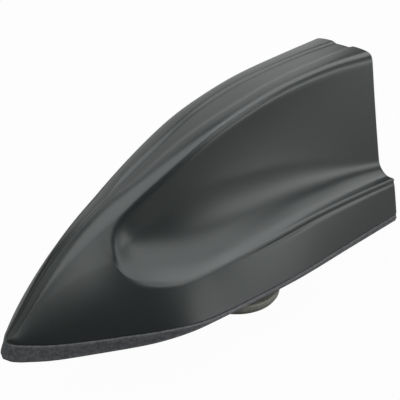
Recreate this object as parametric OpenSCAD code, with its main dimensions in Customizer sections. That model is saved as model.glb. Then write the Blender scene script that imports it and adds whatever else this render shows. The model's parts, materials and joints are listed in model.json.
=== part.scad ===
// Car roof aerial in the form of a shark fin, lofted cover over a cast base.
// Origin on the axis of the fixing bolt, at the roof plane under the rubber seal.
// +X runs to the tail, +Y to the right-hand side of the car, +Z up. Millimetres.

/* [Overall size] */
// Length of the cover along the car, nose to tail
cover_l = 158; // [130:1:190]
// Widest half width of the cover at its lower edge
cover_half_w = 32.7; // [28:0.1:38]
// Height of the crown rails above the roof at the tail
crest_h = 64.7; // [58:0.1:74]
// Distance from the cover's nose tip to the fixing bolt
bolt_from_nose = 99; // [92:1:106]

/* [Cover] */
// Wall of the moulded cover
cover_wall = 2.2; // [1.8:0.1:2.8]
// Half width over the crown rails at the tail
crown_half_w = 13.9; // [12.5:0.1:16]
// Half width of the sunken crown panel
panel_half_w = 6; // [4:0.1:7]
// Depth of the crown panel below its rails
panel_drop = 0.8; // [0.4:0.1:1.2]
// Distance from the nose at which the crown panel starts
panel_start = 42; // [36:1:50]
// Distance from the nose at which the side scoops start
scoop_start = 34; // [30:0.5:38]
// Length over which a scoop reaches its full depth
scoop_run = 22; // [16:1:30]
// Draft of the blade's side walls
blade_draft = 10.5; // [8:0.1:12]
// Bulge of the blade's side walls
blade_bulge = 0.5; // [0:0.1:0.8]
// Fall of the scoop's floor where the scoop starts
floor_fall_front = 38; // [28:1:44]
// Fall of the scoop's floor at the tail
floor_fall_tail = 8; // [4:1:14]
// Fillet at the root of the blade at the tail
root_fillet = 5; // [4:0.1:6]
// Round on the outer edge of the scoop's floor
shoulder_r = 1.4; // [1.3:0.1:1.8]
// Round on the edges of the tail face
tail_r = 1.2; // [0.8:0.1:1.3]
// Rake of the tail face
tail_rake = 1.8; // [0:0.1:4]

/* [Seal] */
// Height of the cover's lower edge above the roof at the nose
edge_h_nose = 4.9; // [4:0.1:5.6]
// Height of the cover's lower edge above the roof at mid length
edge_h_mid = 1.3; // [1.2:0.1:2.2]
// Height of the cover's lower edge above the roof at the tail
edge_h_tail = 2.4; // [1.8:0.1:3.2]
// Shadow gap between the cover's edge and the seal
seal_gap = 0.2; // [0.1:0.05:0.3]
// How far the foot of the seal stands out past the cover
seal_out = 0.8; // [0.5:0.1:1.2]
// Height of the lip at the foot of the seal
lip_h = 0.5; // [0.4:0.1:0.7]
// Thickness of the seal's flange under the base plate
flange_t = 0.8; // [0.6:0.1:1]
// Width of the seal's flange under the base plate
flange_w = 7; // [5:0.5:9]

/* [Base plate] */
// Thickness of the base plate
plate_t = 2.4; // [2:0.1:3]
// Clearance between the base plate and the cover's wall
plate_gap = 0.4; // [0.3:0.05:0.6]
// Radius of the spigot that enters the roof hole
spigot_r = 9; // [8:0.1:11]
// Length of the spigot below the base plate
spigot_l = 10; // [8:0.5:12]
// Height of the board pillars on the base plate
pillar_h = 2.8; // [2.4:0.1:3.4]
// Radius of the board pillars
pillar_r = 3; // [2.6:0.1:3.4]
// Radius of the locating peg
peg_r = 2.5; // [2:0.1:3.5]
// Length of the locating peg below the base plate
peg_l = 6; // [4:0.5:8]

/* [Fixing] */
// Radius of the fixing bolt
bolt_r = 4; // [3:0.5:5]
// Width across the flats of the bolt's head
bolt_flats = 13; // [12:0.5:15]
// Height of the bolt's head
bolt_head_h = 5.3; // [4:0.1:6]
// Radius of the claw disc
disc_r = 17; // [15:0.5:19]
// Depth of the claw disc's floor below the roof plane
disc_z = 22; // [20:0.5:24]
// Depth of the claw disc's dish
disc_h = 4.5; // [3.5:0.1:5.5]
// Sheet thickness of the claw disc
disc_t = 1.5; // [1:0.1:2]
// Round on the lower edge of the claw disc
disc_round = 2.8; // [2:0.1:3.4]
// Number of claws on the disc
claw_n = 4; // [3:1:6]
// Height of the claws above the rim of the disc
claw_h = 4; // [3:0.1:5]
// Width of a claw
claw_w = 9; // [6:0.5:11]
// Thickness of the lock washer
washer_t = 1; // [0.8:0.1:1.4]
// Radius of the lock washer
washer_r = 8; // [7:0.1:8.4]
// Height by which the middle of the claw disc is raised
disc_rise = 2; // [1:0.1:2.4]

/* [Electronics] */
// Thickness of the main board
board_t = 1.6; // [1.2:0.1:2]
// Front end of the main board from the nose
board_front = 26; // [24:1:32]
// Rear end of the main board from the nose
board_rear = 150; // [146:1:152]
// Side of the square ceramic patch
patch_side = 25; // [18:0.5:25]
// Height of the ceramic patch
patch_h = 4; // [3:0.1:5]
// Thickness of the adhesive pad under the patch
pad_t = 0.8; // [0.5:0.1:1.2]
// Length of the screening can
can_l = 22; // [16:1:24]
// Width of the screening can
can_w = 24; // [16:1:30]
// Height of the screening can
can_h = 3.4; // [2.6:0.1:4]
// Thickness of the upright phone aerial board
blade_t = 1; // [0.8:0.1:1.6]
// Front end of the upright board from the nose
blade_front = 104; // [101:1:112]
// Rear end of the upright board from the nose
blade_rear = 141; // [132:1:141]
// Radius of the coil former
former_r = 3; // [2:0.1:4]
// Number of turns on the loading coil
coil_turns = 10; // [6:1:12]
// Radius of the coil's wire
wire_r = 0.4; // [0.3:0.05:0.5]
// Radius of a coax socket's housing
socket_r = 4.4; // [4:0.1:5]
// Radius of a coax socket's bore
socket_bore_r = 3.2; // [2.8:0.1:3.5]
// Length of a coax socket below the base plate
socket_l = 12; // [8:0.5:14]

/* [Radio sail] */
// Front end of the sail from the nose
sail_front = 68; // [64:1:74]
// Rear end of the sail from the nose
sail_rear = 147; // [140:1:150]
// Half width of the sail over its sides
sail_half_w = 6; // [5:0.1:6.6]
// Sheet thickness of the sail
sail_t = 0.5; // [0.4:0.1:0.8]
// Depth of the sail's sides
sail_skirt = 9; // [6:0.5:12]
// Wall of the plastic carrier under the sail
carrier_t = 1.6; // [1.2:0.1:2]
// Thickness of the foam strip between the sail and the crown
foam_t = 1.5; // [1:0.1:2]
// Half width of the foam strip
foam_half_w = 4; // [3:0.1:4.4]
// Depth of the carrier's sides
carrier_skirt = 7; // [5:0.5:8]

/* [Hidden] */

// Shape of the cover along its length: each pair is a share of the length and of the full size
plan_shape = [[0, 0.07], [0.013, 0.115], [0.051, 0.297], [0.127, 0.538], [0.211, 0.755], [0.258, 0.844],
    [0.314, 0.911], [0.373, 0.939], [0.6, 1], [0.79, 0.979], [1, 0.954]];
crest_shape = [[0, 0.084], [0.0095, 0.098], [0.044, 0.193], [0.095, 0.329], [0.152, 0.451], [0.215, 0.55],
    [0.323, 0.68], [0.437, 0.802], [0.5, 0.858], [0.595, 0.915], [0.69, 0.957], [0.85, 0.989], [1, 1]];
crown_shape = [[0, 0.13], [0.044, 0.275], [0.095, 0.403], [0.152, 0.504], [0.215, 0.568], [0.323, 0.648],
    [0.437, 0.727], [0.595, 0.77], [0.785, 0.802], [0.88, 0.85], [1, 1]];
round_shape = [[0, 0.04], [0.0095, 0.1], [0.044, 0.5], [0.095, 0.88], [0.152, 1], [0.215, 0.87],
    [0.323, 0.45], [0.373, 0.29], [0.5, 0.16], [0.69, 0.12], [0.88, 0.18], [1, 0.36]];
root_shape = [[0, 0.3], [0.22, 0.4], [0.316, 0.52], [0.38, 0.58], [0.57, 0.566], [0.728, 0.512],
    [0.895, 0.397], [1, 0.345]];
edge_shape = [[0, 1], [0.18, 0.95], [0.23, 0.78], [0.277, 0.57], [0.35, 0.11], [0.42, 0]];
panel_shape = [[0, 0.12], [0.03, 0.42], [0.078, 0.6], [0.147, 0.65], [0.23, 0.72], [0.32, 0.87],
    [0.45, 1], [0.6, 0.94], [1, 0.88]];
crown_round = 8.2;
// Rise of the crown panel's middle above its edges
panel_camber = 0.12;
// The round on the crown follows a superellipse of this power
crown_power = 2.3;
// Shares of the side, from the cover's edge to the crown, at which the scoop's two edges lie
scoop_tip = 0.76;
scoop_low = 0.265;
scoop_low_tail = 0.228;
// Distances over which the scoop's two edges ease away from its tip
scoop_low_ease = 5.5;
scoop_high_ease = 2.6;
// Bulge of the sides at the nose and at the tail, as a share of their height
nose_bulge = 0.05;
tail_bulge = 0.03;

// Facets round large and small circles
round_fn = 48;
small_fn = 24;
// Clearances: between parts pressed together, and round a screw or a plug in its hole
press_gap = 0.02;
hole_gap = 0.15;

plate_z = flange_t;
plate_top = plate_z + plate_t;
board_z = plate_top + pillar_h;
board_top = board_z + board_t;
// The plate's outline lies this far inside the cover's outline, and starts this far from the nose
plate_inset = cover_wall + plate_gap + 0.8;
plate_front = 6.5;
tail_corner_r = 2.5;

// Cover screws and the bosses they enter: distance from the nose and from the centre line
screw_r = 1.25;
screw_head_r = 2.4;
screw_head_h = 1.5;
screw_l = 9;
recess_r = 1.2;
recess_depth = 0.8;
boss_r = 2.8;
boss_cover = 1;
boss_y = 21;
boss_places = [[22, 6], [22, -6], [62, boss_y], [62, -boss_y], [104, boss_y], [104, -boss_y], [147,
    boss_y], [147, -boss_y]];
pillar_y = 14;
pillar_places = [[34, 11], [34, -11], [98, pillar_y], [98, -pillar_y], [144, pillar_y], [144, -pillar_y]];
board_screw_r = 1.1;
board_screw_l = 5.5;
board_half_w = boss_y - boss_r - 0.4;
board_inset = 11;

peg_from_nose = 124;
vent_at = [118, 12];
vent_r = 2.5;
vent_flange_r = 4;
vent_flange_t = 0.6;

// Things on the main board
patch_from_nose = 49;
patch_chamfer = 1.5;
electrode_side = patch_side - 6;
pad_side = patch_side - 2;
feed_r = 0.5;
feed_head_r = 1.1;
feed_head_h = 0.3;
feed_offset = 2.5;
can_from_nose = 73.5;
can_t = 0.4;
socket_at = [70, 81];
socket_pin_r = 0.5;
socket_pin_inset = 2;
socket_core_r = 1.9;
socket_core_inset = 3;
socket_floor_z = -1;
socket_key = [1.2, 1.4];
coil_from_nose = 95;
coil_r = former_r + wire_r + press_gap;
coil_pitch = 1.6;
coil_start = 4;
former_l = 34;
former_foot_r = 5;
former_foot_h = 1;
cap_t = 0.5;
contact_r = 0.8;
contact_hole_r = 2;
post_r = 2;
post_places = [87.2, 144];
blade_h = 38;
bracket = [6, 2.6, 3.2];
bracket_places = [109, 136];
spring_t = 0.3;
spring_w = 3;
spring_places = [[46, 8], [46, -8], [130, 8], [130, -8]];
// Chips: distance from the nose, from the centre line, length, width and height
chips = [[91, 11, 8, 8, 1.2], [91, -11, 6, 5, 1.2], [110, 10, 10, 7, 1.5], [112, -11, 7, 7, 1.2],
    [128, 12, 6, 6, 1], [128, -11, 12, 6, 1.2]];

// Cubic curve through the pairs of a list, with the slope at each pair set by its neighbours
function slope(list, i) = let(a = max(i - 1, 0), b = min(i + 1, len(list) - 1))
    (list[b][1] - list[a][1]) / (list[b][0] - list[a][0]);
function span(list, u, i = 0) = (i >= len(list) - 2 || u <= list[i + 1][0]) ? i : span(list, u, i + 1);
function curve(list, u) = let(v = min(max(u, list[0][0]), list[len(list) - 1][0]), i = span(list, v),
    h = list[i + 1][0] - list[i][0], t = (v - list[i][0]) / h)
    list[i][1] * (1 + 2 * t) * (1 - t) * (1 - t) + slope(list, i) * h * t * (1 - t) * (1 - t)
    + list[i + 1][1] * t * t * (3 - 2 * t) - slope(list, i + 1) * h * t * t * (1 - t);
function mix(a, b, t) = a + (b - a) * t;
function clamp01(t) = min(max(t, 0), 1);
function cross2(a, b) = a[0] * b[1] - a[1] * b[0];

// Sizes of the cover's section at a distance s from the nose
function half_w(s) = cover_half_w * curve(plan_shape, s / cover_l);
function crest_z(s) = crest_h * curve(crest_shape, s / cover_l);
function crown_y(s) = crown_half_w * curve(crown_shape, s / cover_l);
function crown_fall(s) = crown_round * curve(round_shape, s / cover_l);
function edge_z(s) = let(u = s / cover_l)
    u < 0.42 ? mix(edge_h_mid, edge_h_nose, curve(edge_shape, u))
             : mix(edge_h_mid, edge_h_tail, clamp01((u - 0.42) / 0.58));
function panel_y(s) = panel_half_w * curve(panel_shape, (s - panel_start) / (cover_l - panel_start));
function panel_sink(s) = panel_drop * clamp01((s - panel_start) / 6);
function scoop_depth(s) = pow(clamp01((s - scoop_start) / scoop_run), 0.7);
function scoop_low_t(s) = s < scoop_start ? mix(0.35, scoop_tip - 0.01, s / scoop_start)
    : mix(scoop_low, scoop_low_tail, clamp01((s - 0.7 * cover_l) / (0.3 * cover_l)))
      + (scoop_tip - 0.01 - scoop_low) * exp(-pow((s - scoop_start) / scoop_low_ease, 0.75));
function scoop_high_t(s) = s < scoop_start ? mix(0.95, scoop_tip + 0.01, s / scoop_start)
    : 1 - (1 - scoop_tip - 0.01) * exp((scoop_start - s) / scoop_high_ease);

// Side of the cover without its scoop: from the lower edge at t = 0 to the crown at t = 1
function side_bulge(s) = nose_bulge * clamp01(1.25 - s / 50) + tail_bulge * clamp01((s / cover_l - 0.6) / 0.4);
function side_pt(e, c, s, t) = let(d = c - e) e + d * t + [d[1], -d[0]] * 4 * t * (1 - t) * side_bulge(s);
function conic(a, v, b, t) = a * (1 - t) * (1 - t) + v * 2 * t * (1 - t) + b * t * t;
function unit(v) = v / norm(v);

// Round between the side and the crown: its point at the angle a, and the angle at which the side runs
// into it without a bend. The box holds the round's outer and inner distances, its top and its fall.
function round_pt(box, a) = [mix(box[1], box[0], pow(max(cos(a), 0), 2 / crown_power)),
    box[2] - box[3] + box[3] * pow(sin(a), 2 / crown_power)];
function meet_angle(box, e, bulge, from = 0, to = 80, n = 9) = let(a = (from + to) / 2,
    p = round_pt(box, a), d = p - e, turn = cross2(round_pt(box, a + 0.5) - p, d - [d[1],
        -d[0]] * 4 * bulge))
    n == 0 ? a : turn < 0 ? meet_angle(box, e, bulge, from, a, n - 1) : meet_angle(box, e, bulge, a,
        to, n - 1);

// Scoop from its low edge along the floor, round the root and up the wall to its high edge
function scoop_line(low, high, s) = let(
    share = clamp01((s - scoop_start) / (cover_l - scoop_start)),
    tail = clamp01((s / cover_l - 0.75) * 4),
    fall = mix(floor_fall_front, floor_fall_tail, share),
    wall_dir = [sin(blade_draft), -cos(blade_draft)],
    floor_dir = [cos(fall), -sin(fall)],
    corner = high + wall_dir * cross2(low - high, floor_dir) / cross2(wall_dir, floor_dir),
    root_z = max(crest_h * curve(root_shape, s / cover_l), corner[1] + root_fillet),
    wall_top = mix(high, corner, clamp01((high[1] - root_z) / max(high[1] - corner[1], 1))),
    floor_in = mix(corner, low, mix(0.9, root_fillet / norm(low - corner), tail)))
    [low, floor_in, corner, wall_top, high, tail];
function scoop_pt(line, t) =
    t < 0.15 ? mix(line[0], line[1], t / 0.15)
    : t < 0.7 ? conic(line[1], line[2], line[3], (t - 0.15) / 0.55)
    : let(w = (t - 0.7) / 0.3) mix(line[3], line[4], w) + [4 * w * (1 - w) * blade_bulge * line[5], 0];

// One half of the cover's section as [y, z], from the lower edge to the centre line.
// Fine sections have rounded corners; plain ones have few points, for the inside of the wall.
function half_section(s, fine) = let(
    edge = [half_w(s), edge_z(s)],
    py = panel_y(s),
    box = [crown_y(s), py, crest_z(s), crown_fall(s)],
    meet = meet_angle(box, edge, side_bulge(s)),
    crown = round_pt(box, meet),
    low = side_pt(edge, crown, s, scoop_low_t(s)),
    high_t = min(scoop_high_t(s), fine ? 0.985 : 0.93),
    high = side_pt(edge, crown, s, high_t),
    line = scoop_line(low, high, s),
    k = scoop_depth(s),
    steps = fine ? 12 : 6,
    scoop = [for (i = [1 : steps]) mix(side_pt(edge, crown, s, mix(scoop_low_t(s), high_t, i / steps)),
        scoop_pt(line, i / steps), k)],
    skirt = [for (t = fine ? [0, 0.5] : [0]) side_pt(edge, crown, s, scoop_low_t(s) * t)],
    above = skirt[len(skirt) - 1] - low,
    round_a = low + unit(above) * min(shoulder_r, norm(above) / 2),
    round_b = low + unit(scoop[0] - low) * min(shoulder_r, norm(scoop[0] - low) / 2),
    shoulder = fine ? [round_a, conic(round_a, low, round_b, 0.5), round_b] : [low],
    sink = panel_sink(s),
    step_y = py - max(min(sink, py * 0.6), 0.1),
    rounds = fine ? 5 : 1)
    concat(skirt, shoulder, scoop, [crown],
        [for (i = [1 : rounds]) round_pt(box, mix(meet, 90, i / rounds))],
        [for (y = [step_y, 0]) [y, crest_z(s) - sink + panel_camber * (1 - y * y / (py * py))]]);

// The same section drawn in by g: its first point stays on the lower edge, its last on the centre line
function draw_in(pts, g) = [for (i = [0 : len(pts) - 1])
    i == 0 ? pts[0] - [g, 0]
    : i == len(pts) - 1 ? pts[i] - [0, g]
    : let(a = unit(pts[i] - pts[i - 1]), b = unit(pts[i + 1] - pts[i]),
        na = [a[1], -a[0]], nb = [b[1], -b[0]]) pts[i] - (na + nb) * g / (1 + na * nb)];
function rake_at(s, z) = tan(tail_rake) * z * pow(clamp01((s / cover_l - 0.7) / 0.3), 2);
function ring(s, g, fine) = let(half = draw_in(half_section(s, fine), g), last = len(half) - 1)
    [for (i = [-last : last]) let(p = half[last - abs(i)])
        [s - rake_at(s, p[1]) - bolt_from_nose, i < 0 ? p[0] : -p[0], p[1]]];

// Distances from the nose of the cover's outer sections, with the draw-in that rounds the tail's edges
nose_cuts = [0, 0.8, 2, 4.5, 8, 12, 17, 22, 27, 31];
tip_cuts = [0, 0.5, 1.3, 2.5, 4.2, 6.4, 9, 12.5, 16.5, 21.5];
outer_cuts = concat([for (s = nose_cuts) [s, 0]],
    [for (s = tip_cuts) [scoop_start + s, 0]],
    [for (i = [1 : 15]) [mix(scoop_start + 21.5, cover_l - tail_r, i / 15), 0]],
    [for (a = [30, 60, 90]) [cover_l - tail_r * (1 - sin(a)), tail_r * (1 - cos(a))]]);
inner_front = 10;
inner_rear = cover_l - cover_wall;
function inner_wall(s) = cover_wall * mix(1.25, 1, clamp01(s / (0.4 * cover_l)));

// Outer height of the cover over a point, from its distances to the nose and to the centre line
function height_over(s, y) = let(h = half_section(s, true))
    max([for (i = [1 : len(h) - 1]) if (h[i - 1][0] >= y && h[i][0] < y)
        mix(h[i - 1][1], h[i][1], (h[i - 1][0] - y) / (h[i - 1][0] - h[i][0]))]);
function at(s) = s - bolt_from_nose;

// Two triangles between the left and right halves of an end face, or one where they meet
function end_rung(a, b, c, d, closing) = closing ? [[a, b, d]] : [[a, b, d], [b, c, d]];
function end_face(first, step, count) = [for (j = [0 : (count - 1) / 2 - 1])
    each end_rung(first + step * j, first + step * (j + 1), first + step * (count - 2 - j),
        first + step * (count - 1 - j), j == (count - 1) / 2 - 1)];

// Hollow cover: outer and inner sections joined along the lower edge and closed at both ends
module fin_shell() {
    cuts = len(outer_cuts);
    outer = [for (c = outer_cuts) ring(c[0], c[1], true)];
    inner = [for (c = outer_cuts) let(s = mix(inner_front, inner_rear, c[0] / cover_l))
        ring(s, inner_wall(s), false)];
    no = len(outer[0]);
    ni = len(inner[0]);
    start = cuts * no;
    last_o = (cuts - 1) * no;
    last_n = start + (cuts - 1) * ni;
    function o(i, j) = i * no + j;
    function n(i, j) = start + i * ni + j;
    polyhedron(concat([for (r = outer) each r], [for (r = inner) each r]), concat(
        [for (i = [0 : cuts - 2], j = [0 : no - 2]) each
            [[o(i, j), o(i + 1, j), o(i, j + 1)], [o(i + 1, j), o(i + 1, j + 1), o(i, j + 1)]]],
        [for (i = [0 : cuts - 2], j = [0 : ni - 2]) each
            [[n(i, j), n(i, j + 1), n(i + 1, j)], [n(i + 1, j), n(i, j + 1), n(i + 1, j + 1)]]],
        [for (i = [0 : cuts - 2]) each
            [[o(i, 0), n(i, 0), o(i + 1, 0)], [o(i + 1, 0), n(i, 0), n(i + 1, 0)],
             [o(i, no - 1), o(i + 1, no - 1), n(i, ni - 1)],
             [o(i + 1, no - 1), n(i + 1, ni - 1), n(i, ni - 1)]]],
        end_face(0, 1, no), end_face(last_o + no - 1, -1, no),
        end_face(start + ni - 1, -1, ni), end_face(last_n, 1, ni),
        [[o(0, 0), o(0, no - 1), n(0, 0)], [o(0, no - 1), n(0, ni - 1), n(0, 0)],
         [last_o, last_n, last_o + no - 1], [last_o + no - 1, last_n, last_n + ni - 1]]));
}

// Cover with the screw bosses that hang from its inside
module fin_cover() {
    color([0.16, 0.165, 0.165]) difference() {
        union() {
            fin_shell();
            for (p = boss_places) translate([at(p[0]), p[1], plate_top])
                cylinder(h = height_over(p[0] - boss_r, abs(p[1]) + boss_r) - boss_cover - plate_top,
                    r = boss_r, $fn = small_fn);
        }
        for (p = boss_places) translate([at(p[0]), p[1], plate_top - 1])
            cylinder(h = screw_l + plate_z - plate_top + 1.5, r = screw_r + press_gap, $fn = small_fn);
    }
}

// Outline of the cover's lower edge from above, from a distance behind the nose, with rounded tail
// corners. It runs to the tail on the left-hand side and back on the right-hand side.
loop_cuts = [0, 1, 2.5, 4.5, 7, 10, 13, 16, 20, 24, 28, 32, 37, 42, 48, 54, 62, 72, 84, 96, 109, 125, 142];
function tail_corner(side, r) = [for (k = [0 : 4]) let(a = side < 0 ? -90 + 22.5 * k : 22.5 * k)
    [cover_l - r + r * cos(a), side * (half_w(cover_l) - r) + r * sin(a)]];
function outline(start, corner_r) = let(cuts = concat([start],
    [for (s = loop_cuts) if (s > start + 0.5) s]), last = len(cuts) - 1)
    concat([for (s = cuts) [s, -half_w(s)]], tail_corner(-1, corner_r), tail_corner(1, corner_r),
        [for (i = [last : -1 : 0]) [cuts[i], half_w(cuts[i])]]);
function grow(loop, g) = [for (i = [0 : len(loop) - 1]) let(
    p = loop[i], a = unit(p - loop[(i + len(loop) - 1) % len(loop)]),
        b = unit(loop[(i + 1) % len(loop)] - p),
    na = [a[1], -a[0]], nb = [b[1], -b[0]]) p + (na + nb) * g / (1 + na * nb)];
function shift_loop(loop) = [for (p = loop) [at(p[0]), p[1]]];

// Inner edge of the seal's flange, point for point beside the outline
flange_front = 15;
flange_back = cover_l - flange_w - 1;
function flange_pt(p) = let(s = mix(flange_front, flange_back, p[0] / cover_l),
    w = half_w(s) - flange_w - 1)
    [s, w * max(min(p[1] / half_w(p[0]), 1), -1)];

// Rubber seal: a bead round the whole foot of the cover, with a flange under the base plate
module base_seal() {
    base = outline(0, tail_corner_r);
    count = len(base);
    loops = [grow(base, seal_out), grow(base, seal_out), grow(base, seal_out - 0.45),
        grow(base, 0.15), grow(base, -0.3), grow(base, -2.4), grow(base, -2.4),
        [for (p = base) flange_pt(p)], [for (p = base) flange_pt(p)]];
    function level(k, s) = let(top = edge_z(min(max(s, 0), cover_l)) - seal_gap)
        k == 0 || k == 8 ? 0 : k == 1 ? lip_h : k == 2 ? lip_h + 0.2
        : k == 3 ? max(top - 0.5, lip_h + 0.4) - 0.15 : k == 6 || k == 7 ? min(flange_t, top - 0.1) : top;
    rows = len(loops);
    color([0.27, 0.275, 0.28]) polyhedron(
        [for (k = [0 : rows - 1], i = [0 : count - 1])
            [at(loops[k][i][0]), loops[k][i][1], level(k, base[i][0])]],
        [for (k = [0 : rows - 1], i = [0 : count - 1]) let(
            i2 = (i + 1) % count, k2 = (k + 1) % rows,
            a = k * count + i, b = k * count + i2, c = k2 * count + i2, d = k2 * count + i) each
            [[a, d, c], [a, c, b]]]);
}

// Upright pin with a round head; the head lies at z, above or below the shank
module screw(head_r, head_h, shank_r, shank_l) {
    difference() {
        union() {
            cylinder(h = head_h, r = head_r, $fn = small_fn);
            cylinder(h = head_h + shank_l, r = shank_r, $fn = small_fn);
        }
        translate([0, 0, -1]) cylinder(h = recess_depth + 1, r = recess_r, $fn = 6);
    }
}

// Base plate with its spigot, peg, board pillars and openings
module base_plate() {
    color([0.52, 0.53, 0.55]) difference() {
        union() {
            translate([0, 0, plate_z]) linear_extrude(plate_t)
                polygon(shift_loop(grow(outline(plate_front, plate_inset + 1), -plate_inset)));
            translate([0, 0, plate_z - spigot_l]) cylinder(h = spigot_l + 1, r = spigot_r, $fn = round_fn);
            for (p = pillar_places) translate([at(p[0]), p[1], plate_z + 1])
                cylinder(h = board_z - plate_z - 1, r = pillar_r, $fn = small_fn);
            translate([at(peg_from_nose), 0, plate_z - peg_l]) {
                cylinder(h = 1, r1 = peg_r - 0.8, r2 = peg_r, $fn = small_fn);
                translate([0, 0, 1]) cylinder(h = peg_l, r = peg_r, $fn = small_fn);
            }
        }
        translate([0, 0, plate_z - spigot_l - 1])
            cylinder(h = spigot_l + plate_t + 2, r = bolt_r + press_gap, $fn = round_fn);
        for (p = boss_places) translate([at(p[0]), p[1], plate_z - 1]) {
            cylinder(h = screw_head_h + 1, r = screw_head_r + hole_gap, $fn = small_fn);
            cylinder(h = plate_t + 2, r = screw_r + hole_gap, $fn = small_fn);
        }
        for (p = pillar_places) translate([at(p[0]), p[1], board_top - board_screw_l - 0.5])
            cylinder(h = board_screw_l, r = board_screw_r + press_gap, $fn = small_fn);
        for (s = socket_at) translate([at(s), 0, plate_z - 1])
            cylinder(h = plate_t + 2, r = socket_r + hole_gap, $fn = round_fn);
        translate([at(vent_at[0]), vent_at[1], plate_z - 1])
            cylinder(h = plate_t + 2, r = vent_r + press_gap, $fn = small_fn);
    }
}

// Rubber ring round the spigot, between the base plate and the roof
module spigot_ring() {
    color([0.2, 0.2, 0.21]) difference() {
        cylinder(h = plate_z, r = spigot_r + 4, $fn = round_fn);
        translate([0, 0, -1]) cylinder(h = plate_z + 2, r = spigot_r + hole_gap, $fn = round_fn);
    }
}

// Claw disc: a pressed dish with a raised middle and forked claws that bite the roof from below
module claw_disc() {
    floor_top = -disc_z + disc_t;
    mid_r = washer_r + 0.6;
    inner_r = disc_r - disc_t;
    rim = -disc_z + disc_h;
    color([0.55, 0.55, 0.54]) difference() {
        rotate_extrude($fn = round_fn) polygon(concat(
            [[bolt_r + 0.3, -disc_z + disc_rise], [mid_r, -disc_z + disc_rise],
                [mid_r + disc_rise * 0.8, -disc_z]],
            [for (a = [-90 : 22.5 : 0]) [disc_r - disc_round + disc_round * cos(a),
                -disc_z + disc_round + disc_round * sin(a)]],
            [[disc_r, rim + claw_h], [inner_r, rim + claw_h]],
            [for (a = [0 : -30 : -90]) let(r = disc_round - disc_t)
                [inner_r - r + r * cos(a), floor_top + r + r * sin(a)]],
            [[mid_r + disc_rise * 0.8 - 0.6, floor_top], [mid_r - 0.6, floor_top + disc_rise],
             [bolt_r + 0.3, floor_top + disc_rise]]));
        translate([0, 0, rim]) difference() {
            cylinder(h = claw_h + 1, r = disc_r + 1, $fn = round_fn);
            for (k = [0 : claw_n - 1]) rotate([0, 0, 180 / claw_n + 360 / claw_n * k])
                translate([0, -claw_w / 2, -1]) cube([disc_r + 2, claw_w, claw_h + 3]);
        }
        for (k = [0 : claw_n - 1]) rotate([0, 0, 180 / claw_n + 360 / claw_n * k])
            translate([inner_r - 1, -claw_w / 6, rim + claw_h / 2]) cube([disc_t + 2, claw_w / 3, claw_h]);
    }
}

// Lock washer under the claw disc: a ring with teeth cut round its edge
module lock_washer() {
    color([0.66, 0.66, 0.65]) translate([0, 0, -disc_z + disc_rise - washer_t]) difference() {
        cylinder(h = washer_t, r = washer_r, $fn = round_fn);
        translate([0, 0, -1]) cylinder(h = washer_t + 2, r = bolt_r + 0.2, $fn = round_fn);
        for (k = [0 : 11]) rotate([0, 0, 30 * k]) translate([washer_r, 0, -1])
            cylinder(h = washer_t + 2, r = 0.8, $fn = 4);
    }
}

// Hexagon-headed bolt that draws the claw disc up to the roof
module fixing_bolt() {
    head_top = -disc_z + disc_rise - washer_t;
    color([0.72, 0.72, 0.7]) {
        translate([0, 0, head_top]) cylinder(h = plate_z - head_top + 1, r = bolt_r, $fn = round_fn);
        intersection() {
            translate([0, 0, head_top - bolt_head_h])
                cylinder(h = bolt_head_h, r = bolt_flats / sqrt(3), $fn = 6);
            translate([0, 0, head_top - bolt_head_h])
                cylinder(h = bolt_head_h, r1 = bolt_flats * 0.46, r2 = bolt_flats * 0.46 + bolt_head_h,
                    $fn = round_fn);
        }
    }
}

module cover_screws() {
    color([0.7, 0.7, 0.68]) for (p = boss_places) translate([at(p[0]), p[1], plate_z])
        screw(screw_head_r, screw_head_h, screw_r, screw_l - screw_head_h);
}

// Main board, shaped to the inside of the cover
module main_board() {
    cuts = [board_front, 32, 38, 44, 50, board_rear];
    function w(s) = min(half_w(s) - board_inset, board_half_w);
    color([0.08, 0.32, 0.16]) translate([0, 0, board_z]) difference() {
        linear_extrude(board_t) polygon(concat([for (s = cuts) [at(s), -w(s)]],
            [for (i = [len(cuts) - 1 : -1 : 0]) [at(cuts[i]), w(cuts[i])]]));
        for (p = pillar_places) translate([at(p[0]), p[1], -1])
            cylinder(h = board_t + 2, r = board_screw_r + hole_gap, $fn = small_fn);
        translate([at(patch_from_nose) + feed_offset, 0, -1])
            cylinder(h = board_t + 2, r = feed_r + press_gap, $fn = small_fn);
    }
}

module board_screws() {
    color([0.7, 0.7, 0.68]) for (p = pillar_places) translate([at(p[0]), p[1], board_top + screw_head_h])
        rotate([180, 0, 0]) screw(screw_head_r, screw_head_h, board_screw_r, board_screw_l);
}

module board_chips() {
    color([0.1, 0.1, 0.11]) for (c = chips) translate([at(c[0]) - c[2] / 2, c[1] - c[3] / 2, board_top])
        cube([c[2], c[3], c[4]]);
}

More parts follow.
